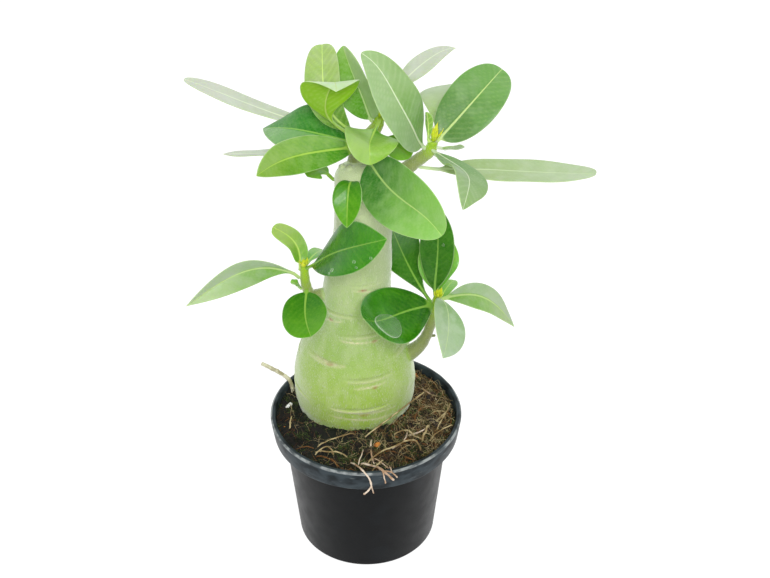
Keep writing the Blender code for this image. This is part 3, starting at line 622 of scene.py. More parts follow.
@dataclass(frozen=True)
class LeafBlade(Finish):
    """A leathery leaf with a waxy cuticle: its clear gloss lays a white veil on a deep green."""
    base: str                      # near the stalk
    tip: str                       # near the tip, where its paler tone is partly painted sheen
    wax_and_sheen: str                     # pale patches, partly wax and partly painted sheen
    wax_and_sheen_share: float = 0.15
    rib: str = "#A9CC58"
    under: str = "#86B548"
    margin: str = "#C3D79C"
    vein_share: float = 0.12
    roughness: float = 0.36
    coat: float = 0.12
    glow: float = 0.2              # how much light passes through
    wax: float = 0.12              # how far wax lightens the blade where it turns away

    def paint(self, brush: Brush) -> None:
        """Green from stalk to tip, with a pale midrib, side veins, margin, and patches of wax and painted
        sheen.

        Args:
            brush: The material's tree.
        """
        share, edge, rib, vein, sheen, under = (
            brush.add("ShaderNodeAttribute", (), "Fac", attribute_name=label)
            for label in ("share", "edge", "rib", "vein", "sheen", "under"))
        # the paling towards the tip is partly painted sheen
        along = brush.add("ShaderNodeMath", (brush.grain(10), 0.5, share), operation="MULTIPLY_ADD")
        # pale patches of wax and painted sheen, plus the painted sheen given to each half of the blade
        waxy = brush.add("ShaderNodeMath", (
            brush.patches(7, 0.42, 0.68, detail=1), self.wax_and_sheen_share, sheen), operation="MULTIPLY_ADD")
        waxy = brush.add("ShaderNodeMath", (waxy, 1.0), operation="MINIMUM")
        tip, margin, midrib = (
            brush.add("ShaderNodeMapRange", row, **SMOOTH)
            for row in ((along, 0.35, 1.15), (edge, 0.1, 0.5, 0.5, 0), (rib, 0.35, 0.8, 0, 0.85)))
        below = brush.layers(self.under, (self.rib, vein, 0.3))
        colour = brush.layers(
            self.base, (self.tip, tip), (self.wax_and_sheen, waxy),
            (self.wax_and_sheen, brush.patches(1.0, 0.3, 0.7, 0, 0.12, detail=3)),
            (self.rib, vein, self.vein_share), (below, under), (self.margin, margin), (self.rib, midrib))
        gloss = brush.patches(5, 0.35, 0.65, self.roughness - 0.06, self.roughness + 0.08, detail=3)
        relief = brush.add("ShaderNodeMath", (vein, 0.5, brush.grain(1.3, detail=3)),
                           operation="MULTIPLY_ADD")
        brush.finish({
            "Base Color": colour, "Roughness": gloss, "Specular IOR Level": 0.25,
            "Sheen Weight": self.wax, "Sheen Roughness": 0.35, "Coat Weight": self.coat,
            "Coat Roughness": 0.18, "Subsurface Weight": self.glow,
            "Subsurface Radius": (0.6, 1.0, 0.25), "Subsurface Scale": 1.2 * MM}, relief, 0.06)


@dataclass(frozen=True)
class StandingWater(Finish):
    """Clear water in the hollow of a leaf: smooth, nearly clear, and paler at its rim by a painted
    highlight.
    """
    # pale: the colour of the painted highlight on the meniscus
    colour: str = "#DDF0D2"

    def paint(self, brush: Brush) -> None:
        """Nearly clear in the middle, paler at the rim by a painted highlight of the meniscus, with faint
        ripples.

        Args:
            brush: The material's tree.
        """
        edge = brush.add("ShaderNodeAttribute", (), "Fac", attribute_name="edge")
        # painted highlight: the rim is more opaque in the pale colour, where the meniscus catches the light
        rim = brush.add("ShaderNodeMapRange", (edge, 0.5, 0.1, 0.12, 0.6), **SMOOTH)
        brush.finish({"Base Color": linear(self.colour), "Roughness": 0.02, "IOR": 1.333,
                      "Specular IOR Level": 1.0, "Alpha": rim}, brush.grain(3), 0.05)


@dataclass(frozen=True)
class PlainCard(Finish):
    """The white matt card that the object stands on, which glows softly round it like a lightbox."""
    colour: str = "#969696"
    shade: str = "#929292"
    glow: tuple[float, float] = (0.86, 0.1)     # near the plant and far away from it
    middle: tuple[float, float, float] = (10, 400, 0)
    reach: tuple[float, float] = (620, 900)     # distances from the middle between which it fades

    def paint(self, brush: Brush) -> None:
        """One pale colour with the faintest grain, and a glow that fades away from the plant.

        Args:
            brush: The material's tree.
        """
        away = brush.add("ShaderNodeVectorMath", (brush.place, [value * MM for value in self.middle]),
                         "Value", operation="DISTANCE")
        near, far = (value * MM for value in self.reach)
        glow = brush.add("ShaderNodeMapRange", (away, near, far, *self.glow), **SMOOTH)
        colour = brush.layers(self.colour, (self.shade, brush.patches(40, 0.3, 0.7, 0, 0.3)))
        brush.feed(brush.tree.nodes["Principled BSDF"], {
            "Base Color": colour, "Roughness": 0.8, "Specular IOR Level": 0.0,
            "Emission Color": linear("#FFFFFF"), "Emission Strength": glow})


POT_PLASTIC = MouldedPolypropylene("moulded_polypropylene", "pot")
PEAT = PeatMix("damp_peat", "potting_mix")
COIR = PlantFibre("coir_fibre", "potting_mix", "#2C1A08", "#7C5120", 4)
STRAW = PlantFibre("dry_straw", "potting_mix", "#8C7348", "#CDBB8C", 6)
ROOT = PlantFibre("dry_root", "potting_mix", "#B08C6C", "#E6D3BE", 5)
TWIG = PlantFibre("grey_twig", "potting_mix", "#A39C78", "#D5D2B4", 4)
BARK = PlantFibre("orange_bark", "potting_mix", "#A8581C", "#D88A3A", 3)
CHIP = PlantFibre("dark_bark", "potting_mix", "#17110B", "#35230F", 3)
MOSS = PlantFibre("moss", "potting_mix", "#141D0A", "#465A20", 6)
PERLITE = PlantFibre("perlite", "potting_mix", "#E8E6E0", "#FFFFFF", 2)
SKIN = CaudexSkin("caudex_skin", "stem_skin")
BUD = LeafBlade("young_bud", "bud", "#B4CC12", "#DCE038", "#E6EA60", 0.1, "#E2EA70", "#C6DA30",
                "#E2E678", vein_share=0.05, glow=0.3)
WATER = StandingWater("standing_water", "lower_leaf")
CARD = PlainCard("pale_card", "pot")
MATT = {"roughness": 0.46, "coat": 0.04}
GLOSS = {"coat": 0.22, "wax": 0.0}


class Blade(Enum):
    """The finishes of the leaves, by how old each leaf is and how it takes the light, painted as lit, shaded
    and hazy colours.
    """
    CROWN = LeafBlade("leathery_crown_leaf", "crown_leaf", "#4C7C30", "#6C9F4E", "#91AF7C", 0.3,
                      "#CBE08F", **MATT)
    GREY = LeafBlade("grey_crown_leaf", "crown_leaf", "#5F9534", "#8BAC6A", "#9FBA89", 0.25,
                     "#D8E6C0", **MATT)
    SILVER = LeafBlade("silver_crown_leaf", "crown_leaf", "#97B269", "#ABC092", "#C0CEAE", 0.3, "#CBDCAE")
    # painted haze: the pale colour of the leaves at the back, washed out by the light behind them
    FAR = LeafBlade("far_crown_leaf", "crown_leaf", "#A2B688", "#C4CAB8", "#CBD0C9", 0.35, "#DCE6C8")
    LIME = LeafBlade("lime_young_leaf", "crown_leaf", "#629916", "#9AB861", "#C7CBB8", 0.2, "#CFE884",
                     glow=0.35, vein_share=0.25)
    SHEEN = LeafBlade("shiny_crown_leaf", "crown_leaf", "#53940C", "#6DA225", "#C7DBA8", 0.15,
                      "#C4DA98", wax=0.02)
    CUPPED = LeafBlade("cupped_crown_leaf", "crown_leaf", "#A5C68A", "#B7D39E", "#D2E2C2", 0.3,
                       "#B4CC6C", "#86B61E", glow=0.25, vein_share=0.2)
    GLOSSY = LeafBlade("glossy_crown_leaf", "crown_leaf", "#197304", "#328320", "#9DC584", 0.1,
                       "#8FBF54", roughness=0.26, **GLOSS)
    BRIGHT = LeafBlade("bright_crown_leaf", "crown_leaf", "#448F05", "#81B131", "#B9D28B", 0.15,
                       "#B4D65C", glow=0.3, vein_share=0.2, wax=0.02)
    FRESH = LeafBlade("fresh_leaf", "lower_leaf", "#257303", "#4E9507", "#89C130", 0.12, "#93BE48",
                      wax=0.02)
    LARGE = LeafBlade("large_crown_leaf", "crown_leaf", "#257305", "#7FB64E", "#ACCB8F", 0.2,
                      "#B4D277", **MATT)
    SHADED = LeafBlade("shaded_leaf", "crown_leaf", "#4C8A10", "#6AA41E", "#90B858", 0.1, "#7FA334",
                       wax=0.02)
    TENDER = LeafBlade("tender_lower_leaf", "lower_leaf", "#66A311", "#A4C35F", "#A9BB8A", 0.2, "#C0DC6C")
    SILVERY = LeafBlade("silvery_lower_leaf", "lower_leaf", "#6DA32F", "#A7C183", "#B5C0AF", 0.2,
                        "#BCD48A", **MATT)
    DEEP = LeafBlade("deep_lower_leaf", "lower_leaf", "#155E04", "#338707", "#7DC62B", 0.1, "#8CBB4C",
                     roughness=0.24, **GLOSS)
    DARKEST = LeafBlade("darkest_lower_leaf", "lower_leaf", "#226006", "#357C0E", "#7FB648", 0.08,
                        "#86B44C", roughness=0.26, **GLOSS)
    YOUNG = LeafBlade("young_lower_leaf", "lower_leaf", "#4C9A1A", "#74B038", "#A4CC68", 0.12,
                      "#A2C94E", wax=0.02)
    LOWER_GREY = LeafBlade("grey_lower_leaf", "lower_leaf", "#77A952", "#A4C092", "#CCDAC3", 0.3,
                           "#C2D89A")


@dataclass(frozen=True)
class Leaf:
    """One leaf: where it leaves its shoot, where its tip is, and how its blade bends."""
    blade: Blade
    at: float                  # fraction of the way along the shoot
    tip: tuple[float, float, float]
    width: float
    arch: float                # how far the midrib rises above the straight line to the tip
    bend: float                # how far it bows to the right, seen from its base
    roll: float                # turn about the midrib at the base, right side up
    fold: float                # rise of each half of the blade from the midrib
    belly: float = 0.62        # where the blade is widest, 0 at the stalk and 1 at the tip
    blunt: float = 0.55        # how round the tip is
    stalk: float = 0.08        # share of the length that is stalk
    crest: float = 0.5         # where the midrib stands highest, as a share of the length
    twist: float = 0           # further turn about the midrib by the tip
    sheen: tuple[float, float] = (0, 0)    # painted sheen that pales its left and its right half, where that half catches the light
    aim: Optional[float] = None    # bearing in which the stalk leaves the shoot


@dataclass
class Shoot:
    """A shoot's curve, which carries leaves and a bud."""
    name: str
    points: Points             # x, y, z and radius, from inside the swollen stem outwards
    rows: Sequence[tuple]      # its leaves, each as the values of a Leaf in order
    bud_length: float = 0.0

    def leaves(self) -> list[Leaf]:
        """Its leaves."""
        return [Leaf(*row) for row in self.rows]

    def at(self, fraction: float) -> tuple[Vector, float]:
        """Point and radius at a fraction of the way along the shoot."""
        value = along_curve(self.points, fraction)
        return value.xyz, value.w

    def direction(self, fraction: float) -> Vector:
        """Unit vector along the shoot, outwards."""
        step = 0.01
        return (self.at(fraction + step)[0] - self.at(fraction - step)[0]).normalized()


@dataclass
class LeafForm:
    """The fine mesh of one leaf, on the same curves as its solid."""
    leaf: Leaf
    shoot: Shoot
    seed: int
    rows: int = 60
    thickness: float = 0.7
    rib_width: float = 0.85        # half the midrib's width at the stalk
    rib_rise: float = 0.22
    rib_depth: float = 0.75
    rib_groove: float = 0.12       # how far the blade dips beside the midrib
    stalk_width: float = 2.2
    stalk_thickness: float = 1.5
    stalk_kick: float = 0.5
    stalk_least: float = 0.08      # the least share of the length in which the stalk fades
    sunk: float = 0.9              # how far the stalk's foot sinks in the shoot
    vein_spacing: float = 3.4
    vein_slant: float = 0.75       # how far a side vein runs towards the tip for each mm outwards
    vein_curve: float = 0.02
    vein_shift: float = 0.9        # how far the veins of the two halves are apart along the midrib
    vein_rise: float = 0.05
    wave: float = 0.35             # height of the margin's waves
    columns: tuple[float, ...] = (0.1, 0.2, 0.32, 0.45, 0.58, 0.7, 0.8, 0.88, 0.94, 0.98, 1.0)
    rib_columns: tuple[float, ...] = (0.0, 0.5, 1.0, 1.8)

    def __post_init__(self) -> None:
        """Works out the leaf's base, the straight line to its tip, and its directions."""
        foot, radius = self.shoot.at(self.leaf.at)
        along = self.shoot.direction(self.leaf.at)
        tip = Vector(self.leaf.tip)
        out = tip - foot
        if self.leaf.aim is not None:
            bearing = radians(self.leaf.aim)
            out = Vector((cos(bearing), sin(bearing), 0))
        self.out: Vector = (out - along * out.dot(along)).normalized()
        self.base: Vector = foot + self.out * (radius + CLEARANCE)
        self.line: Vector = tip - self.base
        ahead = self.line.normalized()
        self.up: Vector = (UP - ahead * ahead.z).normalized()
        draw = random.Random(self.seed)
        self.right: Vector = ahead.cross(self.up)
        self.phases = [draw.uniform(0, tau) for _ in range(2)]
        self.waves = draw.uniform(1.6, 2.6)

    def midrib(self, t: float) -> Vector:
        """A point on the midrib.

        Args:
            t: The fraction of the leaf's length.

        Returns:
            The point.
        """
        t = max(t, 0.0)
        rise = self.leaf.arch * sin(pi * t ** (log(0.5) / log(self.leaf.crest)))
        kick = self.stalk_kick * self.line.length * t * (1 - t) ** 6
        return (self.base + self.line * t + self.up * rise
                + self.right * (self.leaf.bend * sin(pi * t)) + self.out * kick)

    def half_width(self, t: float) -> float:
        """Half the blade's width.

        Args:
            t: The fraction of the leaf's length.

        Returns:
            The half width there.
        """
        leaf = self.leaf
        share = (t - leaf.stalk) / (1 - leaf.stalk)
        if share <= 0:
            return self.stalk_width / 2
        if share >= 1:
            return 0.0
        start = leaf.belly * leaf.blunt / (1 - leaf.belly)
        widest = leaf.belly ** start * (1 - leaf.belly) ** leaf.blunt
        blade = leaf.width / 2 * share ** start * (1 - share) ** leaf.blunt / widest
        stalk = self.stalk_width / 2 * (1 - share) ** 3
        return (blade ** 3 + stalk ** 3) ** (1 / 3)

    def directions(self, t: float) -> tuple[Vector, Vector]:
        """How the blade lies.

        Args:
            t: The fraction of the leaf's length.

        Returns:
            The direction to its right side, and the one that its top faces.
        """
        step = 0.002
        ahead = (self.midrib(t + step) - self.midrib(t - step)).normalized()
        right = ahead.cross(self.up).normalized()
        top = right.cross(ahead)
        roll = radians(self.leaf.roll + self.leaf.twist * t)
        return (right * cos(roll) + top * sin(roll),
                top * cos(roll) - right * sin(roll))

    def vein(self, reach: float, along: float, side: float) -> float:
        """How near a point is to a side vein, 0 to 1."""
        run = along - reach * (self.vein_slant + self.vein_curve * reach) + (0.5 + side) * self.vein_shift
        return (0.5 + 0.5 * cos(tau * run / self.vein_spacing)) ** 6

    def row(self, t: float, offsets: Sequence[float] = ()) -> tuple[
            list[Vector], list[Vector], list[dict[str, float]]]:
        """One row of points across the leaf.

        Args:
            t: Fraction of the leaf's length, below 0 where the stalk's foot sinks in the shoot.
            offsets: Distances to the right of the midrib, if not those of the leaf's own columns.

        Returns:
            The points of the upper face, of the under face, and each point's own numbers.
        """
        inside = max(t, 0.0)
        half = self.half_width(inside)
        side, top = self.directions(inside)
        fold = radians(self.leaf.fold)
        length = self.line.length
        centre = self.midrib(inside) + self.out * (min(t, 0.0) * length)
        fade = max(self.leaf.stalk * 2.0, self.stalk_least)
        stalk = 1 - smooth_step(inside, fade * 0.2, fade)
        rib = min(self.rib_width * (1 - 0.8 * inside), half * 0.5)
        thinning = (1 - inside) ** 0.6
        fullness = half / (self.leaf.width / 2)
        if not offsets:
            arm = [rib * share for share in self.rib_columns]
            arm += [arm[-1] + (half - arm[-1]) * share for share in self.columns]
            offsets = [-offset for offset in reversed(arm[1:])] + arm
        upper, under, facts = [], [], []
        for offset in offsets:
            reach = abs(offset)
            share = reach / max(half, SMALLEST)
            hand = copysign(1, offset)
            flat = sqrt(reach * reach + 0.5) - sqrt(0.5)
            wave = sin(tau * self.waves * inside + self.phases[hand > 0])
            lift = flat * sin(fold) + self.wave * wave * share ** 2.5 * fullness * (1 - stalk)
            point = centre + side * (hand * reach * cos(fold)) + top * lift
            power = 2 + 8 * (1 - stalk)
            body = self.thickness / 2 * (1 - stalk) + self.stalk_thickness / 2 * stalk
            body *= sqrt(max(1 - share ** power, 0.0))
            body *= 1 - 0.6 * smooth_step(inside, 0.9, 1.0)
            ridge = bell(reach / max(rib, 0.1)) * (1 - stalk)
            groove = bell(reach / max(rib * 2.4, 0.1)) * (1 - stalk)
            vein = self.vein(reach, inside * length, hand * 0.5) * (1 - stalk)
            vein *= 1 - smooth_step(share, 0.8, 0.98)
            rise = self.rib_rise * ridge * thinning - self.rib_groove * groove + self.vein_rise * vein
            depth = self.rib_depth * ridge * thinning + self.vein_rise * vein
            upper.append(point + top * (body + rise))
            under.append(point - top * (body + depth))
            # painted sheen: this half of the blade is paled where it catches the light
            sheen = self.leaf.sheen[offset > 0] * smooth_step(reach, rib * 0.8, rib * 1.6) * (1 - stalk)
            facts.append({"share": inside, "edge": half - reach, "rib": ridge + stalk, "vein": vein,
                          "sheen": sheen})
        return upper, under, facts

    def build(self, name: str) -> Thing:
        """The leaf as a closed mesh with rounded margins.

        Args:
            name: The piece's name.

        Returns:
            The piece.
        """
        sunk = self.sunk / self.line.length
        fractions = [-sunk, -sunk / 3] + [1 - (1 - k / self.rows) ** 1.5 for k in range(self.rows)]
        rings = []
        told: list[dict[str, float]] = []
        for t in (*fractions, 0.9995):
            upper, under, facts = self.row(t)
            rings.append(upper + under[-2:0:-1])
            told += [{**fact, "under": 0.0} for fact in facts]
            told += [{**fact, "under": 1.0} for fact in facts[-2:0:-1]]
        return mesh_piece(name, lofted(rings), {key: [fact[key] for fact in told] for key in told[0]})


@dataclass
class SwollenStem:
    """The swollen stem, its shoots and its stubs, which grew as one piece."""
    shoots: Sequence[Shoot]
    sectors: int = 272
    root_bottom: float = 37.0
    top: float = 233.0
    profile: Points = (            # height, radius
        (37, 0), (39, 6), (44, 12), (55, 19), (67, 26), (75, 30.3), (82, 32.3), (87, 33.2),
        (97, 33.3), (106, 32.4), (114, 30.6), (125, 25), (136, 20.2), (147, 18.6), (158, 18),
        (173, 17), (190, 15.4), (208, 14.6), (218, 14.2), (225, 13.6), (229, 11.8), (231.5, 7.6),
        (233, 0))
    axis: Points = (               # height, x, y
        (37, -6.5, 14.5), (83, -6.5, 14.5), (123, -6, 13.5), (153, -4.6, 12.6), (173, -3, 12),
        (203, -0.4, 10.4), (218, -0.8, 9), (233, -2, 8))
    rings: tuple[float, ...] = (96.5, 115, 122, 137, 149, 168)
    scars: Points = (              # height, bearing, half its reach along the ring, lip
        (168, -75, 34, 0.31), (168, 80, 60, 0.37), (168, 175, 40, 0.25),
        (149, -118, 36, 0.56), (149, 20, 50, 0.5), (149, 130, 40, 0.5),
        (137, -78, 36, 0.62), (137, 70, 50, 0.5), (137, 175, 35, 0.5),
        (122, -128, 30, 0.74), (122, -10, 34, 0.56), (122, 95, 40, 0.62),
        (115, -74, 28, 0.74), (115, 150, 44, 0.62), (115, 40, 30, 0.56),
        (96.5, -82, 30, 0.74), (96.5, 20, 40, 0.62), (96.5, 120, 36, 0.68), (96.5, -160, 26, 0.56))
    lip_width: float = 0.9
    crease_width: float = 0.5
    groove: float = 0.08
    line_width: float = 0.55
    core_height: float = 0.75
    lumps: Points = ((14, 0.35), (4, 0.12))     # size and height of the skin's slight lumps
    branch_steps: int = 60
    branch_rings: int = 9          # rings of fallen leaves on a shoot
    ring_rise: float = 0.18
    lines: Points = (              # pale lines of cork: height and bearing of both ends
        (165.4, -98, 164.2, -63), (141.5, -157, 145, -112), (134.2, -112, 132.5, -52),
        (122.2, -142, 121.8, -100), (110.3, -89, 111.1, -58), (96.5, -112, 92.5, -48),
        (91.5, -113, 88, -47), (133, 20, 135, 80), (112, 60, 111, 120), (150, 60, 149, 130),
        (94, 60, 95, 130))
    cores: Points = (              # bundle scars: height, bearing, half their width
        (165.4, -81, 2.2), (144.1, -133, 1.8), (132.9, -60, 1.5), (121.7, -118, 1.8),
        (110, -69, 1.5), (93.2, -80, 2.6), (134, 50, 1.8), (111.5, 90, 1.8), (149.5, 95, 1.6))
    stubs: Sequence[tuple[tuple, tuple, float]] = (
        ((34, 5, 129), (37.5, 4, 130), 0.8),
        ((-7, 6, 229), (-7.2, 4.8, 233.6), 2.2),
        ((0.2, 6, 229), (0.6, 4.8, 233.2), 2.4),
        ((-10, 9, 228), (-11.2, 8.6, 232), 2.0))

    def centre(self, height: float) -> Vector:
        """Point on the stem's slightly leaning axis."""
        return Vector((through(self.axis, height, 1), through(self.axis, height, 2), height))

    def radius(self, height: float) -> float:
        """Radius of the stem, without its scars."""
        return through(self.profile, height)

    def scar_parts(self, height: float, bearing: float) -> tuple[float, float, float]:
        """How far the skin stands out at the leaf scars, and how corky and creased it is there.

        Args:
            height: Height of the point.
            bearing: Its bearing about the stem's axis.

        Returns:
            The relief in millimetres, the share of cork on a lip and the share of crease.
        """
        relief = cork = crease = 0.0
        for ring in self.rings:
            relief -= self.groove * bell((height - ring - self.crease_width) / self.lip_width)
        for level, middle, reach, lip in self.scars:
            turn = (bearing - middle + 180) % 360 - 180
            window = max(0.0, 1 - (turn / reach) ** 2)
            ledge = bell((height - level + self.lip_width) / self.lip_width)
            hollow = bell((height - level - self.crease_width) / self.crease_width)
            relief += 0.8 * lip * window * (ledge - 0.7 * hollow)
            cork = max(cork, lip * window * ledge)
            crease = max(crease, lip * window * hollow)
        return relief, min(cork, 1.0), min(crease, 1.0)

    def cork_lines(self, height: float, bearing: float) -> tuple[float, float]:
        """How near a point of the skin is to the marks of shed leaves.

        Args:
            height: Height of the point.
            bearing: Its bearing about the stem's axis.

        Returns:
            How near it is to a thin line of cork, and to a bundle scar, each 0 to 1.
        """
        scale = radians(self.radius(height))
        shake = 0.35 * noise.noise(Vector((bearing * scale / 3, height, 5)))
        here = Vector((bearing * scale, height + shake))
        line = core = 0.0
        for low, start, high, end in self.lines:
            first, along = Vector((start * scale, low)), Vector(((end - start) * scale, high - low))
            share = min(max((here - first).dot(along) / along.length_squared, 0.0), 1.0)
            away = (here - first - along * share).length
            line = max(line, bell(away / self.line_width) * (0.45 + 0.55 * sin(pi * share)))
        for level, middle, half in self.cores:
            aside, above = (bearing - middle) * scale / half, (height - level) / self.core_height
            core = max(core, exp(-(aside * aside + above * above) ** 1.5))
        return line, core

    def heights(self) -> list[float]:
        """Heights of the fine rings, closer together where the scars are.

        Returns:
            The heights, from the foot up.
        """
        levels = [self.root_bottom + 0.8]
        while levels[-1] < self.top - 0.4:
            level = levels[-1]
            near = min(abs(level - ring) for ring in self.rings)
            step = 3.0 if level < 73 else 0.35 if near < 4 and level <= 225 else 0.6
            levels.append(level + step)
        return [level for level in levels if level < self.top - 0.2]

    def skin(self) -> Thing:
        """The stem itself, with scars, creases and slight lumps.

        Returns:
            The object.
        """
        rings = []
        for height in self.heights():
            centre, radius = self.centre(height), self.radius(height)
            ring = []
            for j in range(self.sectors):
                turn = tau * j / self.sectors
                relief = self.scar_parts(height, degrees(turn) - (360 if turn > pi else 0))[0]
                spot = Vector((cos(turn) * radius, sin(turn) * radius, height))
                for size, lump in self.lumps:
                    relief += lump * noise.noise(spot / size)
                reach = max(radius + relief * min(radius / 6, 1), 0.3)
                ring.append(centre + Vector((cos(turn), sin(turn), 0)) * reach)
            rings.append(ring)
        return mesh_piece("caudex_fine", lofted(rings))

    def branch(self, shoot: Shoot) -> Thing:
        """One shoot, with a collar where it leaves the stem and the rings of fallen leaves.

        Args:
            shoot: The shoot.

        Returns:
            The object.
        """
        path = []
        for k in range(self.branch_steps + 1):
            fraction = k / self.branch_steps
            point, radius = shoot.at(fraction)
            ring = self.ring_rise * bell((fraction * self.branch_rings % 1 - 0.5) / 0.16)
            path.append((point, radius + ring * smooth_step(fraction, 0.25, 0.4)))
        return mesh_piece("shoot_" + shoot.name, tube(path, 32))

    def stub(self, start: tuple, end: tuple, radius: float) -> Thing:
        """The short stub of a shed twig or fruit stalk, with a sunken end.

        Args:
            start: The stub's foot.
            end: Its end.
            radius: Its radius at the foot.

        Returns:
            The object.
        """
        foot, tip = Vector(start), Vector(end)
        along = (tip - foot).normalized()
        path = [(foot, radius), (foot.lerp(tip, 0.6), radius * 0.95), (tip - along * 0.3, radius * 0.85),
                (tip, radius * 0.6), (tip - along * 0.5, radius * 0.35)]
        return mesh_piece("stub", tube(path, 20))

    def measure(self, thing: Thing) -> None:
        """Gives each point its share of cork, scar, crease and shoot, which the skin's finish reads.

        Args:
            thing: The whole stem with its shoots.
        """
        samples = [(shoot.at(k / 40), k / 40) for shoot in self.shoots if shoot.bud_length
                   for k in range(41)]
        tree = kdtree.KDTree(len(samples))
        for index, ((point, radius), fraction) in enumerate(samples):
            tree.insert(point, index)
        tree.balance()
        told = []
        for vert in thing.data.vertices:
            spot = vert.co / MM
            centre = self.centre(spot.z)
            bearing = degrees(atan2(spot.y - centre.y, spot.x - centre.x))
            away = (spot - centre).length - self.radius(spot.z)
            point, index, distance = tree.find(spot)
            (_, radius), fraction = samples[index]
            on_shoot = smooth_step(away - max(distance - radius, 0), 0.2, 2.5)
            relief, cork, crease = self.scar_parts(spot.z, bearing)
            line, core = self.cork_lines(spot.z, bearing)
            scar = max(0.5 * smooth_step(cork * (0.5 + 0.5 * noise.noise(spot / 2.5)), 0.42, 0.7), core)
            told.append({
                "ledge": 0.55 * cork * (1 - on_shoot), "scar": scar * (1 - on_shoot),
                "line": line * (1 - on_shoot), "crease": 0.45 * crease * (1 - on_shoot),
                "on_shoot": on_shoot, "young": smooth_step(fraction, 0.55, 0.95)})
        note(thing, {key: [fact[key] for fact in told] for key in told[0]})

    def build(self) -> Thing:
        """The stem, shoots and stubs, joined in one union.

        Returns:
            The piece, which stands for the caudex.
        """
        stem = self.skin()
        parts = [self.branch(shoot) for shoot in self.shoots if shoot.bud_length]
        parts += [self.stub(*stub) for stub in self.stubs]
        group = bpy.data.collections.new("caudex_parts")
        for part in parts:
            group.objects.link(part)
        union = stem.modifiers.new("union", "BOOLEAN")
        union.operation = "UNION"
        union.solver = "EXACT"
        union.operand_type = "COLLECTION"
        union.collection = group
        graph = bpy.context.evaluated_depsgraph_get()
        joined = bpy.data.meshes.new_from_object(stem.evaluated_get(graph))
        stem.modifiers.clear()
        stem.data = joined
        for part in parts:
            bpy.data.objects.remove(part)
        bpy.data.collections.remove(group)
        joined.shade_smooth()
        self.measure(stem)
        return dress(stem, SKIN, "caudex")


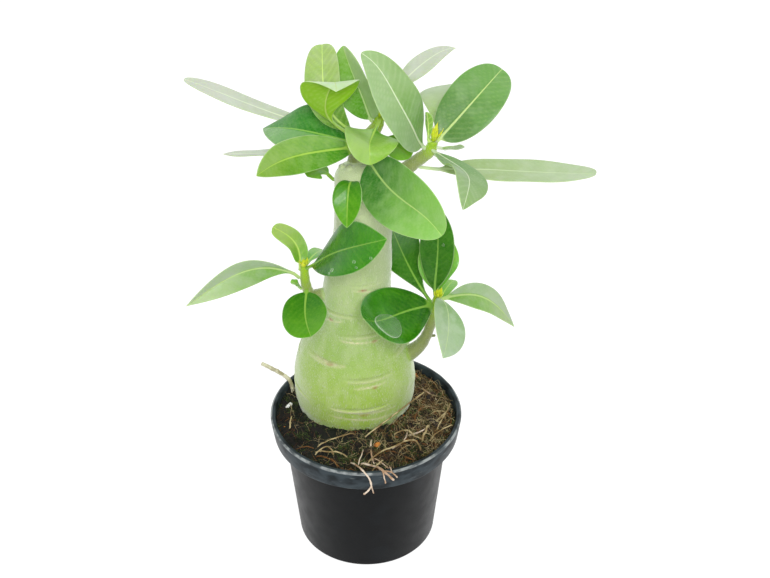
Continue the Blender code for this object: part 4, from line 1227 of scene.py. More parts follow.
@dataclass
class NurseryPot:
    """The thin moulded pot: one wall turned about its axis, with drain holes in its floor."""
    sectors: int = 160
    height: float = 81.5
    foot_radius: float = 39.5
    foot_rounding: float = 1.8
    shoulder_height: float = 69.5
    shoulder_radius: float = 46.0
    band_radius: float = 50.9
    rim_radius: float = 52.5
    rim_lip: float = 2.0
    wall: float = 1.3
    floor: float = 1.5
    drain_holes: int = 6
    drain_circle: float = 27.0
    drain_radius: float = 4.0
    rail: float = 1.0              # radius of the circle that the wall's outline is swept along
    waviness: float = 0.12

    def wall_radius(self, height: float) -> float:
        """The outer radius of the wall below the band."""
        return self.foot_radius + (self.shoulder_radius - self.foot_radius) * height / self.shoulder_height

    def inside(self) -> list[tuple[float, float]]:
        """The pot's inside, from the rim down to the floor's edge.

        Returns:
            Its (radius, height) points.
        """
        return [(self.rim_radius - self.rim_lip, self.height - 0.5),
                (self.band_radius - self.wall, self.shoulder_height + self.wall + 0.5),
                (self.wall_radius(self.shoulder_height) - self.wall, self.shoulder_height + self.wall),
                (self.wall_radius(self.foot_rounding) - self.wall, self.floor + self.foot_rounding / 2),
                (self.foot_radius - self.foot_rounding, self.floor)]

    def inside_radius(self, height: float) -> float:
        """The radius of the pot's inside at a height in the band."""
        (top_radius, top), (low_radius, low) = self.inside()[:2]
        return low_radius + (top_radius - low_radius) * (height - low) / (top - low)

    def outline(self) -> list[tuple[float, float]]:
        """The closed outline of the wall and floor, from the axis, with rounded edges.

        Returns:
            Its (radius, height) points.
        """
        lip = self.rim_radius - self.rim_lip
        inner = self.inside()
        return rounded([
            (0, 0, 0), (self.wall_radius(0), 0, self.foot_rounding),
            (self.shoulder_radius, self.shoulder_height, 0.5),
            (self.band_radius, self.shoulder_height, 0.7),
            (self.rim_radius, self.height, 0.6), (lip, self.height, 0.5),
            (*inner[1], 0.4), (*inner[2], 0.4), (*inner[3], 1.2), (*inner[4], 1.2),
            (0, self.floor, 0)])

    def turning_tree(self) -> GeometryTree:
        """The tree that turns an outline about Z, cuts the drain holes and adds a slight waviness.

        Returns:
            The tree.
        """
        made = GeometryTree("turned_pot", (
            "Rail Radius", "Drain Circle", "Drain Radius", "Drain Depth", "Waviness"),
            ("Sectors", "Drain Holes"))
        given, add = made.given, made.add
        rail = add("GeometryNodeCurvePrimitiveCircle", {
            "Resolution": given["Sectors"], "Radius": given["Rail Radius"]})
        turned = add("GeometryNodeCurveToMesh", {
            "Curve": rail, "Profile Curve": add("GeometryNodeMeshToCurve", (given["Surface"],))})
        merged = add("GeometryNodeMergeByDistance", {"Geometry": turned, "Distance": 0.02 * MM})
        circle = add("GeometryNodeMeshCircle", {
            "Vertices": given["Drain Holes"], "Radius": given["Drain Circle"]})
        drill = add("GeometryNodeMeshCylinder", {
            "Vertices": 40, "Radius": given["Drain Radius"], "Depth": given["Drain Depth"]})
        drills = add("GeometryNodeInstanceOnPoints", {"Points": circle, "Instance": drill})
        moved = add("GeometryNodeTransform", {0: drills, "Rotation": (0, 0, pi / self.drain_holes)})
        drained = add("GeometryNodeMeshBoolean", {
            "Mesh 1": merged, "Mesh 2": add("GeometryNodeRealizeInstances", (moved,))},
            operation="DIFFERENCE")
        shift = add("ShaderNodeVectorMath", (
            made.ripple(given["Waviness"], Scale=1 / (30 * MM), Detail=1.0), (1, 1, 0)),
            operation="MULTIPLY")
        return made.close(add("GeometryNodeSetPosition", {"Geometry": drained, "Offset": shift}))

    def build(self) -> Thing:
        """The pot.

        Returns:
            The piece, which stands for the pot.
        """
        outline = self.outline()
        mesh = bpy.data.meshes.new("pot_outline")
        count = len(outline)
        mesh.from_pydata([((radius - self.rail) * MM, -height * MM, 0) for radius, height in outline],
                         [(k, (k + 1) % count) for k in range(count)], [])
        host = add_object("pot_outline", mesh)
        piece = self.turning_tree().run("nursery_pot", host, POT_PLASTIC, {
            "Sectors": self.sectors, "Rail Radius": self.rail * MM, "Drain Holes": self.drain_holes,
            "Drain Circle": self.drain_circle * MM, "Drain Radius": self.drain_radius * MM,
            "Drain Depth": 4 * self.floor * MM, "Waviness": self.waviness * MM})
        bpy.data.objects.remove(host)
        face_outwards(piece)
        piece.data.set_sharp_from_angle(angle=radians(50))
        return dress(piece, POT_PLASTIC, "pot")


@dataclass
class PottingMix:
    """The mix that fills the pot, with everything that lies on it."""
    pot: NurseryPot
    stem: SwollenStem
    sectors: int = 240
    rings: int = 90
    edge_height: float = 76.0
    collar: float = 79.5
    front_rise: float = 2.5
    mound_width: float = 10.0
    roughness: float = 1.5
    strands: int = 34
    chips: int = 10
    seed: int = 5
    placed: Sequence[tuple[Points, float, Finish]] = (
        (((-60, 35, 87), (-52, 31, 85.4), (-46.5, 27.5, 84), (-43.5, 24, 83), (-42, 21.5, 79),
          (-41.5, 20, 74)), 1.5, TWIG),
        (((0.6, -38, 74.1), (3, -36.1, 77.6), (8.9, -31.7, 79.3), (15.9, -28.2, 79.9), (21.8, -24.1, 79.9),
          (26.2, -22.5, 79.2), (28.9, -25.9, 78.5), (29.9, -28.4, 76.5), (31.1, -31.2, 74)), 0.55, STRAW),
        (((-8.2, -36.5, 74.2), (-7.1, -39.2, 77.5), (-3.1, -48.7, 83.2), (0.1, -53.6, 83.4),
          (2.4, -54.4, 79.9), (3.2, -54.8, 75.4), (1.3, -54.9, 71.9), (-0.6, -54.9, 69.8)), 0.6, ROOT),
        (((2.9, -54.8, 77.5), (3.7, -54.9, 74.1), (4.6, -54.9, 70.5)), 0.4, ROOT),
        (((-3.7, -37.9, 74.1), (-1.2, -39.6, 77.5), (3.1, -42.6, 78.8), (7.4, -49.7, 83.4),
          (10.2, -52.8, 83.4), (12.6, -54.5, 82.1), (15.2, -54.9, 79.7)), 0.75, ROOT),
        (((8.9, -50.5, 83.4), (9.7, -54.6, 82.9), (10.8, -54.9, 77.6)), 0.45, ROOT),
        (((10, -52.1, 83.4), (13.1, -52.7, 83.6), (15.2, -54.4, 83.4), (16.8, -54.8, 81.3)), 0.45, ROOT),
        (((3, -34, 74.3), (5.2, -36.1, 77.6), (8.9, -39.8, 78), (12.1, -44.8, 79), (13.2, -48.4, 82.9),
          (14.2, -52.6, 83.2)), 0.4, ROOT),
        (((-4.2, -41.3, 74), (-3.3, -38.5, 78.3), (-2.1, -34.3, 78.8), (-1.3, -29.6, 78.2)), 0.4, ROOT),
        (((-27, -26, 74.9), (-24.1, -25.2, 78.7), (-17.1, -23.3, 81), (-10.6, -21.4, 82.2),
          (-6.8, -20.4, 82), (-3.8, -21.9, 78.8)), 0.45, STRAW),
        (((-1.8, -22.3, 78.5), (1.3, -20.7, 81.6), (8.9, -16.8, 85.8), (16.5, -12.8, 90),
          (24.1, -8.9, 94.2), (31.7, -5, 98.4)), 0.45, STRAW),
        (((35.1, -7, 74.5), (34.1, -9.9, 78.4), (32.7, -14.2, 78.5), (31.2, -18.4, 77.8),
          (30.2, -21.2, 74.1)), 0.8, STRAW),
        (((14.3, -18.6, 77.3), (17, -17.2, 80), (22, -14.8, 79.7), (24.7, -15.6, 79), (26.3, -18, 78.2),
          (29.6, -18.6, 77.3), (32.5, -19.2, 74.1)), 0.45, STRAW),
        (((-28.1, -32, 74.1), (-25.5, -30.4, 77.9), (-21.3, -27.9, 79.3), (-18.5, -29.5, 78.9),
          (-17.4, -31.5, 77.7), (-15.9, -34.1, 74.3)), 0.45, STRAW),
        (((-19.3, -33.5, 74.2), (-17.8, -36.1, 77.6), (-14.4, -41.9, 77.8), (-10.7, -45.1, 77.8),
          (-7, -44.1, 77.6), (-4.1, -43.3, 74)), 0.45, COIR),
        (((-27.7, -32, 74.1), (-24.9, -33.2, 77.1), (-20.5, -35, 77.3), (-16.7, -37.5, 77.1),
          (-14.2, -39.2, 74)), 0.5, COIR),
        (((9.3, -28.8, 74.8), (12.1, -29.7, 77.6), (17.5, -31.4, 77.7), (22.8, -35.3, 77.6),
          (28.1, -37.9, 77.4), (29.4, -37.4, 74)), 0.5, COIR),
        (((46.3, 11.2, 74), (47.1, 9.1, 77.6), (43.2, -1.1, 78.3), (39.6, -9.8, 77.7), (38.5, -12.6, 74.1)),
          0.45, STRAW),
        (((46.1, 11.8, 74), (47, 9.4, 78.2), (44.4, 1.4, 79.1), (39.2, -5.3, 78.2), (37.4, -7.7, 74.2)),
          0.45, STRAW),
        (((47.3, -5.7, 74), (47.4, -7.8, 77.4), (42.3, -11.5, 77.6), (36.7, -17.1, 77.4),
          (34.6, -19.3, 74.1)), 0.45, STRAW),
        (((32.2, 35.1, 74.6), (34.7, 33.4, 77.9), (40.2, 26.2, 78.2), (43.3, 20.7, 77.5), (44, 18.2, 74.1)),
          0.5, COIR))
    placed_chips: Points = ((6.5, -25), (28, 36.5), (32.3, 29.3), (-43, 6.7))
    strewn: Sequence[tuple] = (    # piece, finish, number on a square metre, least and largest size, seed
        ("peat_crumbs", PEAT, 1.6e5, 0.25, 0.9, 1), ("orange_crumbs", BARK, 1.5e3, 0.3, 0.8, 4),
        ("bark_crumbs", CHIP, 1.6e4, 0.3, 1.3, 6), ("perlite_grains", PERLITE, 5e2, 0.25, 0.6, 9))
    laid: Sequence[tuple] = (      # piece, finish, number, lengths, half widths, curl, lift, seed
        ("coir_fibres", COIR, 1.1e5, 5, 20, 0.05, 0.13, 1.3, 2.4, 1),
        ("straw_fibres", STRAW, 6e4, 8, 24, 0.05, 0.12, 1.1, 5, 6))

    def height(self, x: float, y: float) -> float:
        """Height of the mix's uneven top, mounded against the stem.

        Args:
            x: The place's x.
            y: The place's y.

        Returns:
            The height there.
        """
        centre = self.stem.centre(self.collar)
        out = Vector((x - centre.x, y - centre.y))
        reach = max(out.length - self.stem.radius(self.collar), 0.0)
        collar = self.collar + self.front_rise * (-out.y / max(out.length, 0.5))
        mound = bell(reach / self.mound_width)
        bumps = noise.noise(Vector((x, y, 0)) / 7) + 0.5 * noise.noise(Vector((x, y, 9)) / 3)
        return self.edge_height + (collar - self.edge_height) * mound + self.roughness * bumps

    def crumbs(self, x: float, y: float) -> float:
        """The fine roughness of the top."""
        spot = Vector((x, y, 3))
        return 0.55 * noise.noise(spot / 1.9) + 0.3 * noise.noise(spot / 0.9)

    def body(self) -> tuple[Thing, Thing]:
        """The mix itself, with a hole for the root.

        Returns:
            The mix, and a copy of its top alone, which the loose matter is laid on.
        """
        centre = self.stem.centre(self.collar)
        turns = [tau * j / self.sectors for j in range(self.sectors)]
        arms = [Vector((cos(a), sin(a))) for a in turns]
        inner = self.stem.radius(self.collar) + 0.6
        reach = self.pot.inside_radius(self.edge_height) - CLEARANCE
        edges = []
        for arm in arms:
            dot = centre.xy.dot(arm)
            edges.append(-dot + sqrt(dot * dot - centre.xy.length_squared + reach * reach))
        walls = [(radius - CLEARANCE, height + CLEARANCE) for radius, height in self.pot.inside()[1:]]
        rings = [[Vector((arm.x * radius, arm.y * radius, height)) for arm in arms]
                 for radius, height in reversed(walls)]
        top_start = len(rings)
        for k in range(self.rings + 1):
            share = 1 - k / self.rings
            ring = []
            for arm, edge in zip(arms, edges):
                spot = centre.xy + arm * (inner + (edge - inner) * share)
                height = self.height(*spot)
                if k:
                    height += self.crumbs(*spot) * min(k / 4, 1)
                else:
                    spot *= (self.pot.inside_radius(height) - CLEARANCE) / spot.length
                ring.append(Vector((*spot, height)))
            rings.append(ring)
        top_end = len(rings)
        for height in (75, 67, 55, 44, self.stem.root_bottom + 1):
            middle, radius = self.stem.centre(height), self.stem.radius(height) + 0.4
            rings.append([Vector((*(middle.xy + arm * radius), height)) for arm in arms])
        mix = mesh_piece("potting_mix_fine", lofted(rings))
        top = mesh_piece("mix_top", lofted(rings[top_start + 1:top_end], False), closed=False)
        top.data.flip_normals()
        if top.data.polygons[0].normal.z < 0:
            top.data.flip_normals()
        return mix, top

    def is_clear(self, point: Vector, radius: float) -> bool:
        """Whether a piece clears the pot's wall and the stem.

        Args:
            point: The piece's middle.
            radius: Half its size.

        Returns:
            True where nothing is in its way.
        """
        margin = radius + 2 * CLEARANCE
        if point.xy.length + margin > self.pot.inside_radius(min(point.z, self.pot.height)):
            return False
        out = (point.xy - self.stem.centre(point.z).xy).length
        return out > self.stem.radius(point.z) + 0.8 + margin

    def strand_path(self, draw: random.Random) -> Optional[list[tuple]]:
        """A root or straw that lies in a bend on the mix.

        Args:
            draw: The random numbers that its place, length and bend come from.

        Returns:
            Its x, y, z and radius rows, or None where something is in its way.
        """
        steps = 5
        radius = draw.uniform(0.45, 0.8)
        stride = draw.uniform(12, 30) / steps
        bearing = draw.uniform(0, tau)
        bend = draw.uniform(-0.35, 0.35)
        rise = draw.uniform(0.4, 2.2)
        distance = draw.uniform(15, 47)
        start = draw.uniform(0, tau)
        spot = Vector((distance * cos(start), distance * sin(start)))
        path = []
        for k in range(steps + 1):
            u = k / steps
            lift = rise * sin(pi * u) - 1.6 * abs(2 * u - 1) ** 3
            point = Vector((spot.x, spot.y, self.height(*spot) + lift))
            if not self.is_clear(point, radius):
                return None
            path.append((*point, radius * (1 - 0.4 * u)))
            bearing += bend
            spot = spot + Vector((cos(bearing), sin(bearing))) * stride
        return path

    def strand(self, path: Points, draw: random.Random) -> Surface:
        """A strand with kinks and a thinning end.

        Args:
            path: Its x, y, z and radius rows.
            draw: The random numbers that its kinks come from.

        Returns:
            Its points and faces.
        """
        steps = 7 * (len(path) - 1)
        fine = []
        shift = Vector([draw.uniform(0, 50) for _ in range(3)])
        for k in range(steps + 1):
            value = along_curve(path, k / steps)
            kink = noise.noise_vector(value.xyz / 2.5 + shift) * 0.25
            girth = 1 + 0.25 * noise.noise(value.xyz / 1.5 + shift)
            fine.append((value.xyz + kink, max(value.w * girth * 0.8, 0.12)))
        return tube(fine, 7)

    def chip(self, draw: random.Random, shape: random.Random,
             place: Sequence[float] = ()) -> Optional[Surface]:
        """A flat chip of bark, tilted and half sunk in the mix.

        Args:
            draw: The random numbers that its place, size and tilt come from.
            shape: The random numbers that its form comes from.
            place: Its x and y, where they aren't random.

        Returns:
            Its points and faces, or None where something is in its way.
        """
        distance = draw.uniform(15, 46)
        start = draw.uniform(0, tau)
        spot = Vector((distance * cos(start), distance * sin(start), 0))
        size = Vector((draw.uniform(4, 7), draw.uniform(2, 3.5), draw.uniform(1.2, 2)))
        if place:
            spot = Vector((*place, 0))
            size *= 0.6
        spot.z = self.height(spot.x, spot.y) + 0.5
        turn = Matrix.Rotation(draw.uniform(0, tau), 3, "Z")
        tilt = Matrix.Rotation(draw.uniform(-0.5, 0.5), 3, "X")
        if not place and not self.is_clear(spot, size.length / 2):
            return None
        bm = bmesh.new()
        bmesh.ops.create_icosphere(bm, subdivisions=3, radius=0.55)
        shift = Vector((shape.uniform(0, 90), 0, 0))
        for vert in bm.verts:
            vert.co = Vector([copysign(abs(c) ** 0.6, c) for c in vert.co])
            vert.co *= 1 + 0.35 * noise.noise(vert.co * 2.5 + shift)
            vert.co = turn @ (tilt @ Vector([a * b for a, b in zip(vert.co, size)])) + spot
        points = [vert.co.copy() for vert in bm.verts]
        faces = [tuple(vert.index for vert in face.verts) for face in bm.faces]
        bm.free()
        return points, faces

    def loose_strands(self) -> list[Thing]:
        """The straws and roots, in a piece for each finish, and the chips of bark.

        Returns:
            The pieces.
        """
        draw, shape = random.Random(self.seed), random.Random(self.seed + 1)
        noise.seed_set(self.seed)      # else the strands' kinks differ in each run
        groups: dict[Finish, list[Surface]] = {}
        for points, radius, finish in self.placed:
            rows = [(*point, radius) for point in points]
            groups.setdefault(finish, []).append(self.strand(rows, shape))
        count = len(self.placed)
        while count < self.strands:
            path = self.strand_path(draw)
            if path:
                finish = (STRAW, COIR, ROOT)[count % 3]
                groups.setdefault(finish, []).append(self.strand(path, shape))
                count += 1
        for spot in self.placed_chips:
            finish = PERLITE if spot[0] < 0 else BARK
            groups.setdefault(finish, []).append(self.chip(draw, shape, spot))
        count = len(self.placed_chips)
        while count < self.chips:
            chip = self.chip(draw, shape)
            if chip:
                groups.setdefault(CHIP, []).append(chip)
                count += 1
        made = []
        for finish, shapes in groups.items():
            points, faces = [], []
            for shape_points, shape_faces in shapes:
                first = len(points)
                points += shape_points
                faces += [tuple(first + index for index in face) for face in shape_faces]
            made.append(dress(mesh_piece("loose_" + finish.name, (points, faces)), finish))
        return made

    def crumb_tree(self) -> GeometryTree:
        """The tree that strews irregular crumbs on a surface.

        Returns:
            The tree.
        """
        made = GeometryTree("strewn_crumbs", ("Density", "Smallest", "Largest"))
        given, add = made.given, made.add
        spots = add("GeometryNodeDistributePointsOnFaces", {
            "Mesh": given["Surface"], "Density": given["Density"], "Seed": given["Seed"]})
        crumb = add("GeometryNodeMeshIcoSphere", {"Radius": 1.0, "Subdivisions": 2})
        size = add("FunctionNodeRandomValue", {
            2: given["Smallest"], 3: given["Largest"], "Seed": given["Seed"]}, 1)
        flat = add("FunctionNodeRandomValue", {0: (0.7, 0.5, 0.35), 1: (1.3, 1.0, 0.8), "Seed": 3},
                   data_type="FLOAT_VECTOR")
        angles = add("FunctionNodeRandomValue", {0: (0, 0, 0), 1: [tau] * 3, "Seed": 7},
                     data_type="FLOAT_VECTOR")
        scale = add("ShaderNodeVectorMath", {0: flat, "Scale": size}, operation="SCALE")
        return made.close(add("GeometryNodeSetPosition", {
            "Geometry": made.copies(spots, crumb, angles, scale),
            "Offset": made.ripple(given["Largest"], Scale=1 / (1.3 * MM), Detail=1.0)}))

    def moss_tree(self) -> GeometryTree:
        """The tree that sets pointed leaflets on a surface, thick in patches.

        Returns:
            The tree.
        """
        made = GeometryTree("moss_patches", ("Density", "Shortest", "Longest", "Patch"))
        given, add = made.given, made.add
        patches = add("ShaderNodeTexNoise", {"Scale": given["Patch"], "Detail": 2.0}, "Fac")
        share = add("ShaderNodeMapRange", (patches, 0.42, 0.58))
        spots = add("GeometryNodeDistributePointsOnFaces", {
            "Mesh": given["Surface"], "Density": given["Density"], "Seed": given["Seed"]})
        drawn = add("FunctionNodeRandomValue", {2: 0.0, 3: 1.0, "Seed": 11}, 1)
        bare = add("FunctionNodeCompare", (drawn, share), operation="GREATER_THAN")
        kept = add("GeometryNodeDeleteGeometry", {"Geometry": spots, "Selection": bare}, domain="POINT")
        leaflet = add("GeometryNodeMeshCone", {
            "Vertices": 3, "Radius Top": 0.02, "Radius Bottom": 0.16, "Depth": 1.0})
        length = add("FunctionNodeRandomValue", {
            2: given["Shortest"], 3: given["Longest"], "Seed": given["Seed"]}, 1)
        angles = add("FunctionNodeRandomValue", {
            0: (-1.1, -1.1, 0), 1: (1.1, 1.1, tau), "Seed": 5}, data_type="FLOAT_VECTOR")
        return made.close(made.copies(kept, leaflet, angles, length))

    def fibre_tree(self) -> GeometryTree:
        """The tree that lays thin curling fibres on a surface, so that each follows its bumps.

        Returns:
            The tree.
        """
        made = GeometryTree("laid_fibres", (
            "Density", "Shortest", "Longest", "Thinnest", "Thickest", "Curl", "Lift"), ("Steps", "Seed"))
        given, add = made.given, made.add
        here = add("GeometryNodeInputPosition")
        share = add("ShaderNodeMapRange", (
            add("ShaderNodeSeparateXYZ", (here,)), -20 * MM, 35 * MM, 0.2, 1.8))
        marked = add("GeometryNodeDistributePointsOnFaces", {
            "Mesh": given["Surface"], "Seed": given["Seed"],
            "Density": add("ShaderNodeMath", (given["Density"], share), operation="MULTIPLY")})
        kept = {}
        for label, low, high, salt in (("strand", 0.0, 400.0, 1),
                                       ("reach", given["Shortest"], given["Longest"], 2),
                                       ("girth", given["Thinnest"], given["Thickest"], 3)):
            value = add("FunctionNodeRandomValue", {2: low, 3: high, "Seed": salt}, 1)
            marked = add("GeometryNodeStoreNamedAttribute", {
                "Geometry": marked, "Name": label, "Value": value})
            kept[label] = add("GeometryNodeInputNamedAttribute", {"Name": label})
        heading = add("FunctionNodeRandomValue", {0: (0, 0, 0), 1: (0, 0, tau), "Seed": 9},
                      data_type="FLOAT_VECTOR")
        line = add("GeometryNodeResampleCurve", {"Count": given["Steps"], "Curve": add(
            "GeometryNodeCurvePrimitiveLine", {"Start": (-0.5, 0, 0), "End": (0.5, 0, 0)})})
        along = add("GeometryNodeSplineParameter", (), "Factor")
        pattern = add("ShaderNodeCombineXYZ", (along, kept["strand"]))
        size = add("ShaderNodeMath", (kept["reach"], given["Curl"]), operation="MULTIPLY")
        curled = add("GeometryNodeSetPosition", {
            "Geometry": made.copies(marked, line, heading, kept["reach"]),
            "Offset": made.ripple(size, Scale=1.6, Detail=2.0, Roughness=0.65, Vector=pattern)})
        above = add("ShaderNodeVectorMath", (here, (0, 0, 30 * MM)), operation="ADD")
        hit = add("GeometryNodeRaycast", {
            "Target Geometry": given["Surface"], "Source Position": above, "Ray Direction": (0, 0, -1),
            "Ray Length": 100 * MM}, "Is Hit")
        whole = add("GeometryNodeFieldOnDomain", (hit,), data_type="BOOLEAN", domain="CURVE")
        missed = add("FunctionNodeBooleanMath", (whole,), operation="NOT")
        safe = add("GeometryNodeDeleteGeometry", {"Geometry": curled, "Selection": missed},
                   domain="CURVE")
        hump = add("ShaderNodeTexNoise", {"Scale": 2.2, "Detail": 0.0, "Vector": pattern}, "Fac")
        raised = add("ShaderNodeMapRange", {
            "Value": hump, "From Min": 0.45, "From Max": 0.75, "To Max": given["Lift"]})
        lift = add("ShaderNodeMath", (raised, kept["girth"]), operation="ADD")
        seat = add("ShaderNodeVectorMath", (
            hit.node.outputs["Hit Position"], add("ShaderNodeCombineXYZ", {"Z": lift})), operation="ADD")
        seated = add("GeometryNodeSetPosition", {"Geometry": safe, "Position": seat})
        taper = add("ShaderNodeMapRange", {"Value": along, "To Min": 1.0, "To Max": 0.45})
        radius = add("ShaderNodeMath", (taper, kept["girth"]), operation="MULTIPLY")
        section = add("GeometryNodeCurvePrimitiveCircle", {"Resolution": 4, "Radius": 1.0})
        return made.close(add("GeometryNodeCurveToMesh", {
            "Curve": seated, "Profile Curve": section, "Scale": radius, "Fill Caps": True}))

    def build(self) -> None:
        """The mix with its crumbs, moss, fibres, strands and chips."""
        mix, top = self.body()
        dress(mix, PEAT, "potting_mix")
        crumbs, moss, fibres = self.crumb_tree(), self.moss_tree(), self.fibre_tree()
        for name, finish, density, smallest, largest, seed in self.strewn:
            dress(crumbs.run(name, top, finish, {
                "Density": density, "Smallest": smallest * MM, "Largest": largest * MM,
                "Seed": seed}), finish)
        dress(moss.run("moss_patches", top, MOSS, {
            "Density": 2.2e6, "Shortest": 0.8 * MM, "Longest": 2.2 * MM, "Patch": 1 / (9 * MM),
            "Seed": 2}), MOSS)
        for name, finish, density, shortest, longest, thinnest, thickest, curl, lift, seed in self.laid:
            dress(fibres.run(name, top, finish, {
                "Density": density, "Shortest": shortest * MM, "Longest": longest * MM,
                "Thinnest": thinnest * MM, "Thickest": thickest * MM, "Curl": curl, "Lift": lift * MM,
                "Steps": 16, "Seed": seed}), finish)
        bpy.data.objects.remove(top)
        self.loose_strands()


@dataclass
class Bud:
    """The tuft of young blades at a shoot's end."""
    shoot: Shoot
    blades: int = 7
    golden_angle: float = 137.5
    lean: float = 14.0             # of the outermost blade
    shrink: float = 0.55           # how much smaller the innermost blade is
    width: float = 3.0
    thickness: float = 0.3
    steps: int = 14                # of a blade's rings
    across: int = 9

    def whorl_tree(self) -> GeometryTree:
        """The tree that sets copies of one blade round an axis by the golden angle.

        Returns:
            The tree.
        """
        made = GeometryTree("bud_whorl", ("Angle", "Lean", "Shrink"), ("Blades",))
        given, add = made.given, made.add
        line = add("GeometryNodeMeshLine", {"Offset": (0, 0, 0.12 * MM), "Count": given["Blades"]},
                   mode="OFFSET")
        index = add("GeometryNodeInputIndex")
        turn = add("ShaderNodeMath", (index, given["Angle"]), operation="MULTIPLY")
        share = add("ShaderNodeMath", (index, given["Blades"]), operation="DIVIDE")
        rest = add("ShaderNodeMath", (1.0, share), operation="SUBTRACT")
        lean = add("ShaderNodeMath", (rest, given["Lean"]), operation="MULTIPLY")
        less = add("ShaderNodeMath", (share, given["Shrink"]), operation="MULTIPLY")
        return made.close(made.copies(
            line, given["Surface"], add("ShaderNodeCombineXYZ", {"Y": lean, "Z": turn}),
            add("ShaderNodeMath", (1.0, less), operation="SUBTRACT")))

    def blade(self) -> Thing:
        """One young blade, folded upwards, along Z from the origin.

        Returns:
            The object.
        """
        rings = []
        for k in range(self.steps + 1):
            t = k / self.steps
            half = self.width / 2 * max(sin(pi * min(t * 0.85 + 0.12, 1)), 0.03)
            half = half * (1 - t ** 3) + 0.05
            out = 0.9 + 1.2 * sin(pi * t * 0.8)
            front = [Vector((out - 0.35 * (x * half) ** 2 + 0.16, x * half, t * self.shoot.bud_length))
                     for x in [2 * j / self.across - 1 for j in range(self.across + 1)]]
            back = [point - Vector((self.thickness, 0, 0)) for point in reversed(front[1:-1])]
            rings.append(front + back)
        count = len(rings[0])
        zero = [0.0] * (len(rings) * count)
        return mesh_piece("bud_blade", lofted(rings), {
            "share": [k / self.steps for k in range(self.steps + 1) for _ in range(count)],
            "edge": [2.0] * len(zero), "rib": zero, "vein": zero, "sheen": zero, "under": zero})

    def build(self) -> Thing:
        """The bud.

        Returns:
            The piece, which stands for the bud's solid.
        """
        host = self.blade()
        piece = self.whorl_tree().run("young_" + self.shoot.name, host, BUD, {
            "Blades": self.blades, "Angle": radians(self.golden_angle),
            "Lean": radians(self.lean), "Shrink": self.shrink})
        bpy.data.objects.remove(host)
        turn = self.shoot.direction(1.0).to_track_quat("Z", "Y").to_matrix().to_4x4()
        piece.data.transform(Matrix.Translation(self.shoot.at(1.0)[0] * MM) @ turn)
        return dress(piece, BUD, "bud_" + self.shoot.name)


@dataclass
class Foliage:
    """The leaves of all shoots, and the water that stands on some of them."""
    shoots: Sequence[Shoot]
    drop_rings: int = 16
    drop_sides: int = 36
    drops: Points = (              # leaf, share of its length, way right, half length and width, height
        ("right_side", 3, 0.6, -4.2, 9.6, 7.0, 1.3), ("left_side", 3, 0.67, 7.6, 1.1, 0.9, 0.7),
        ("left_side", 3, 0.83, 7.4, 0.9, 0.8, 0.6), ("left_side", 3, 0.44, 9.6, 1.3, 1.0, 0.8),
        ("left_side", 3, 0.41, 10.9, 0.7, 0.7, 0.5), ("left_side", 3, 0.69, 10.6, 0.8, 0.7, 0.5),
        ("left_crown", 4, 0.45, -3, 1.0, 0.8, 0.6), ("right_side", 2, 0.6, 3, 1.0, 0.8, 0.6))

    def drop(self, form: LeafForm, t: float, aside: float, length: float, width: float,
             height: float) -> Surface:
        """A lens of water on a leaf's upper face, with a round margin.

        Args:
            form: The leaf that carries it.
            t: Where its middle is, as a fraction of the leaf's length.
            aside: How far its middle is to the right of the midrib.
            length: Half its size along the leaf.
            width: Half its size across the leaf.
            height: How thick it is in the middle.

        Returns:
            Its points and faces.
        """
        rings = []
        for k in range(1, self.drop_rings):
            turn = pi * k / self.drop_rings
            radius, rise = sin(turn), cos(turn)
            ring = []
            for j in range(self.drop_sides):
                angle = tau * j / self.drop_sides
                wobble = 1 + 0.08 * sin(2 * angle + t * 9) + 0.05 * sin(3 * angle)
                where = t + length * radius * wobble * cos(angle) / form.line.length
                upper = form.row(where, (aside + width * radius * wobble * sin(angle),))[0][0]
                lift = height * rise if rise > 0 else 0.15 * rise
                ring.append(upper + form.directions(where)[1] * lift)
            rings.append(ring)
        return lofted(rings)

    def build(self) -> None:
        """Every leaf, each a piece that stands for its own solid, and the water."""
        seed = 0
        slope = [abs(cos(pi * k / self.drop_rings))
                 for k in range(1, self.drop_rings) for _ in range(self.drop_sides)]
        for shoot in self.shoots:
            for number, leaf in enumerate(shoot.leaves(), 1):
                label = "%s_%d" % (shoot.name, number)
                form = LeafForm(leaf, shoot, seed)
                seed += 1
                dress(form.build("blade_" + label), leaf.blade.value, "leaf_" + label)
                for owner, place, *sizes in self.drops:
                    if (owner, place) == (shoot.name, number):
                        dress(mesh_piece("water_on_leaf_" + label, self.drop(form, *sizes),
                                         {"edge": slope}), WATER)


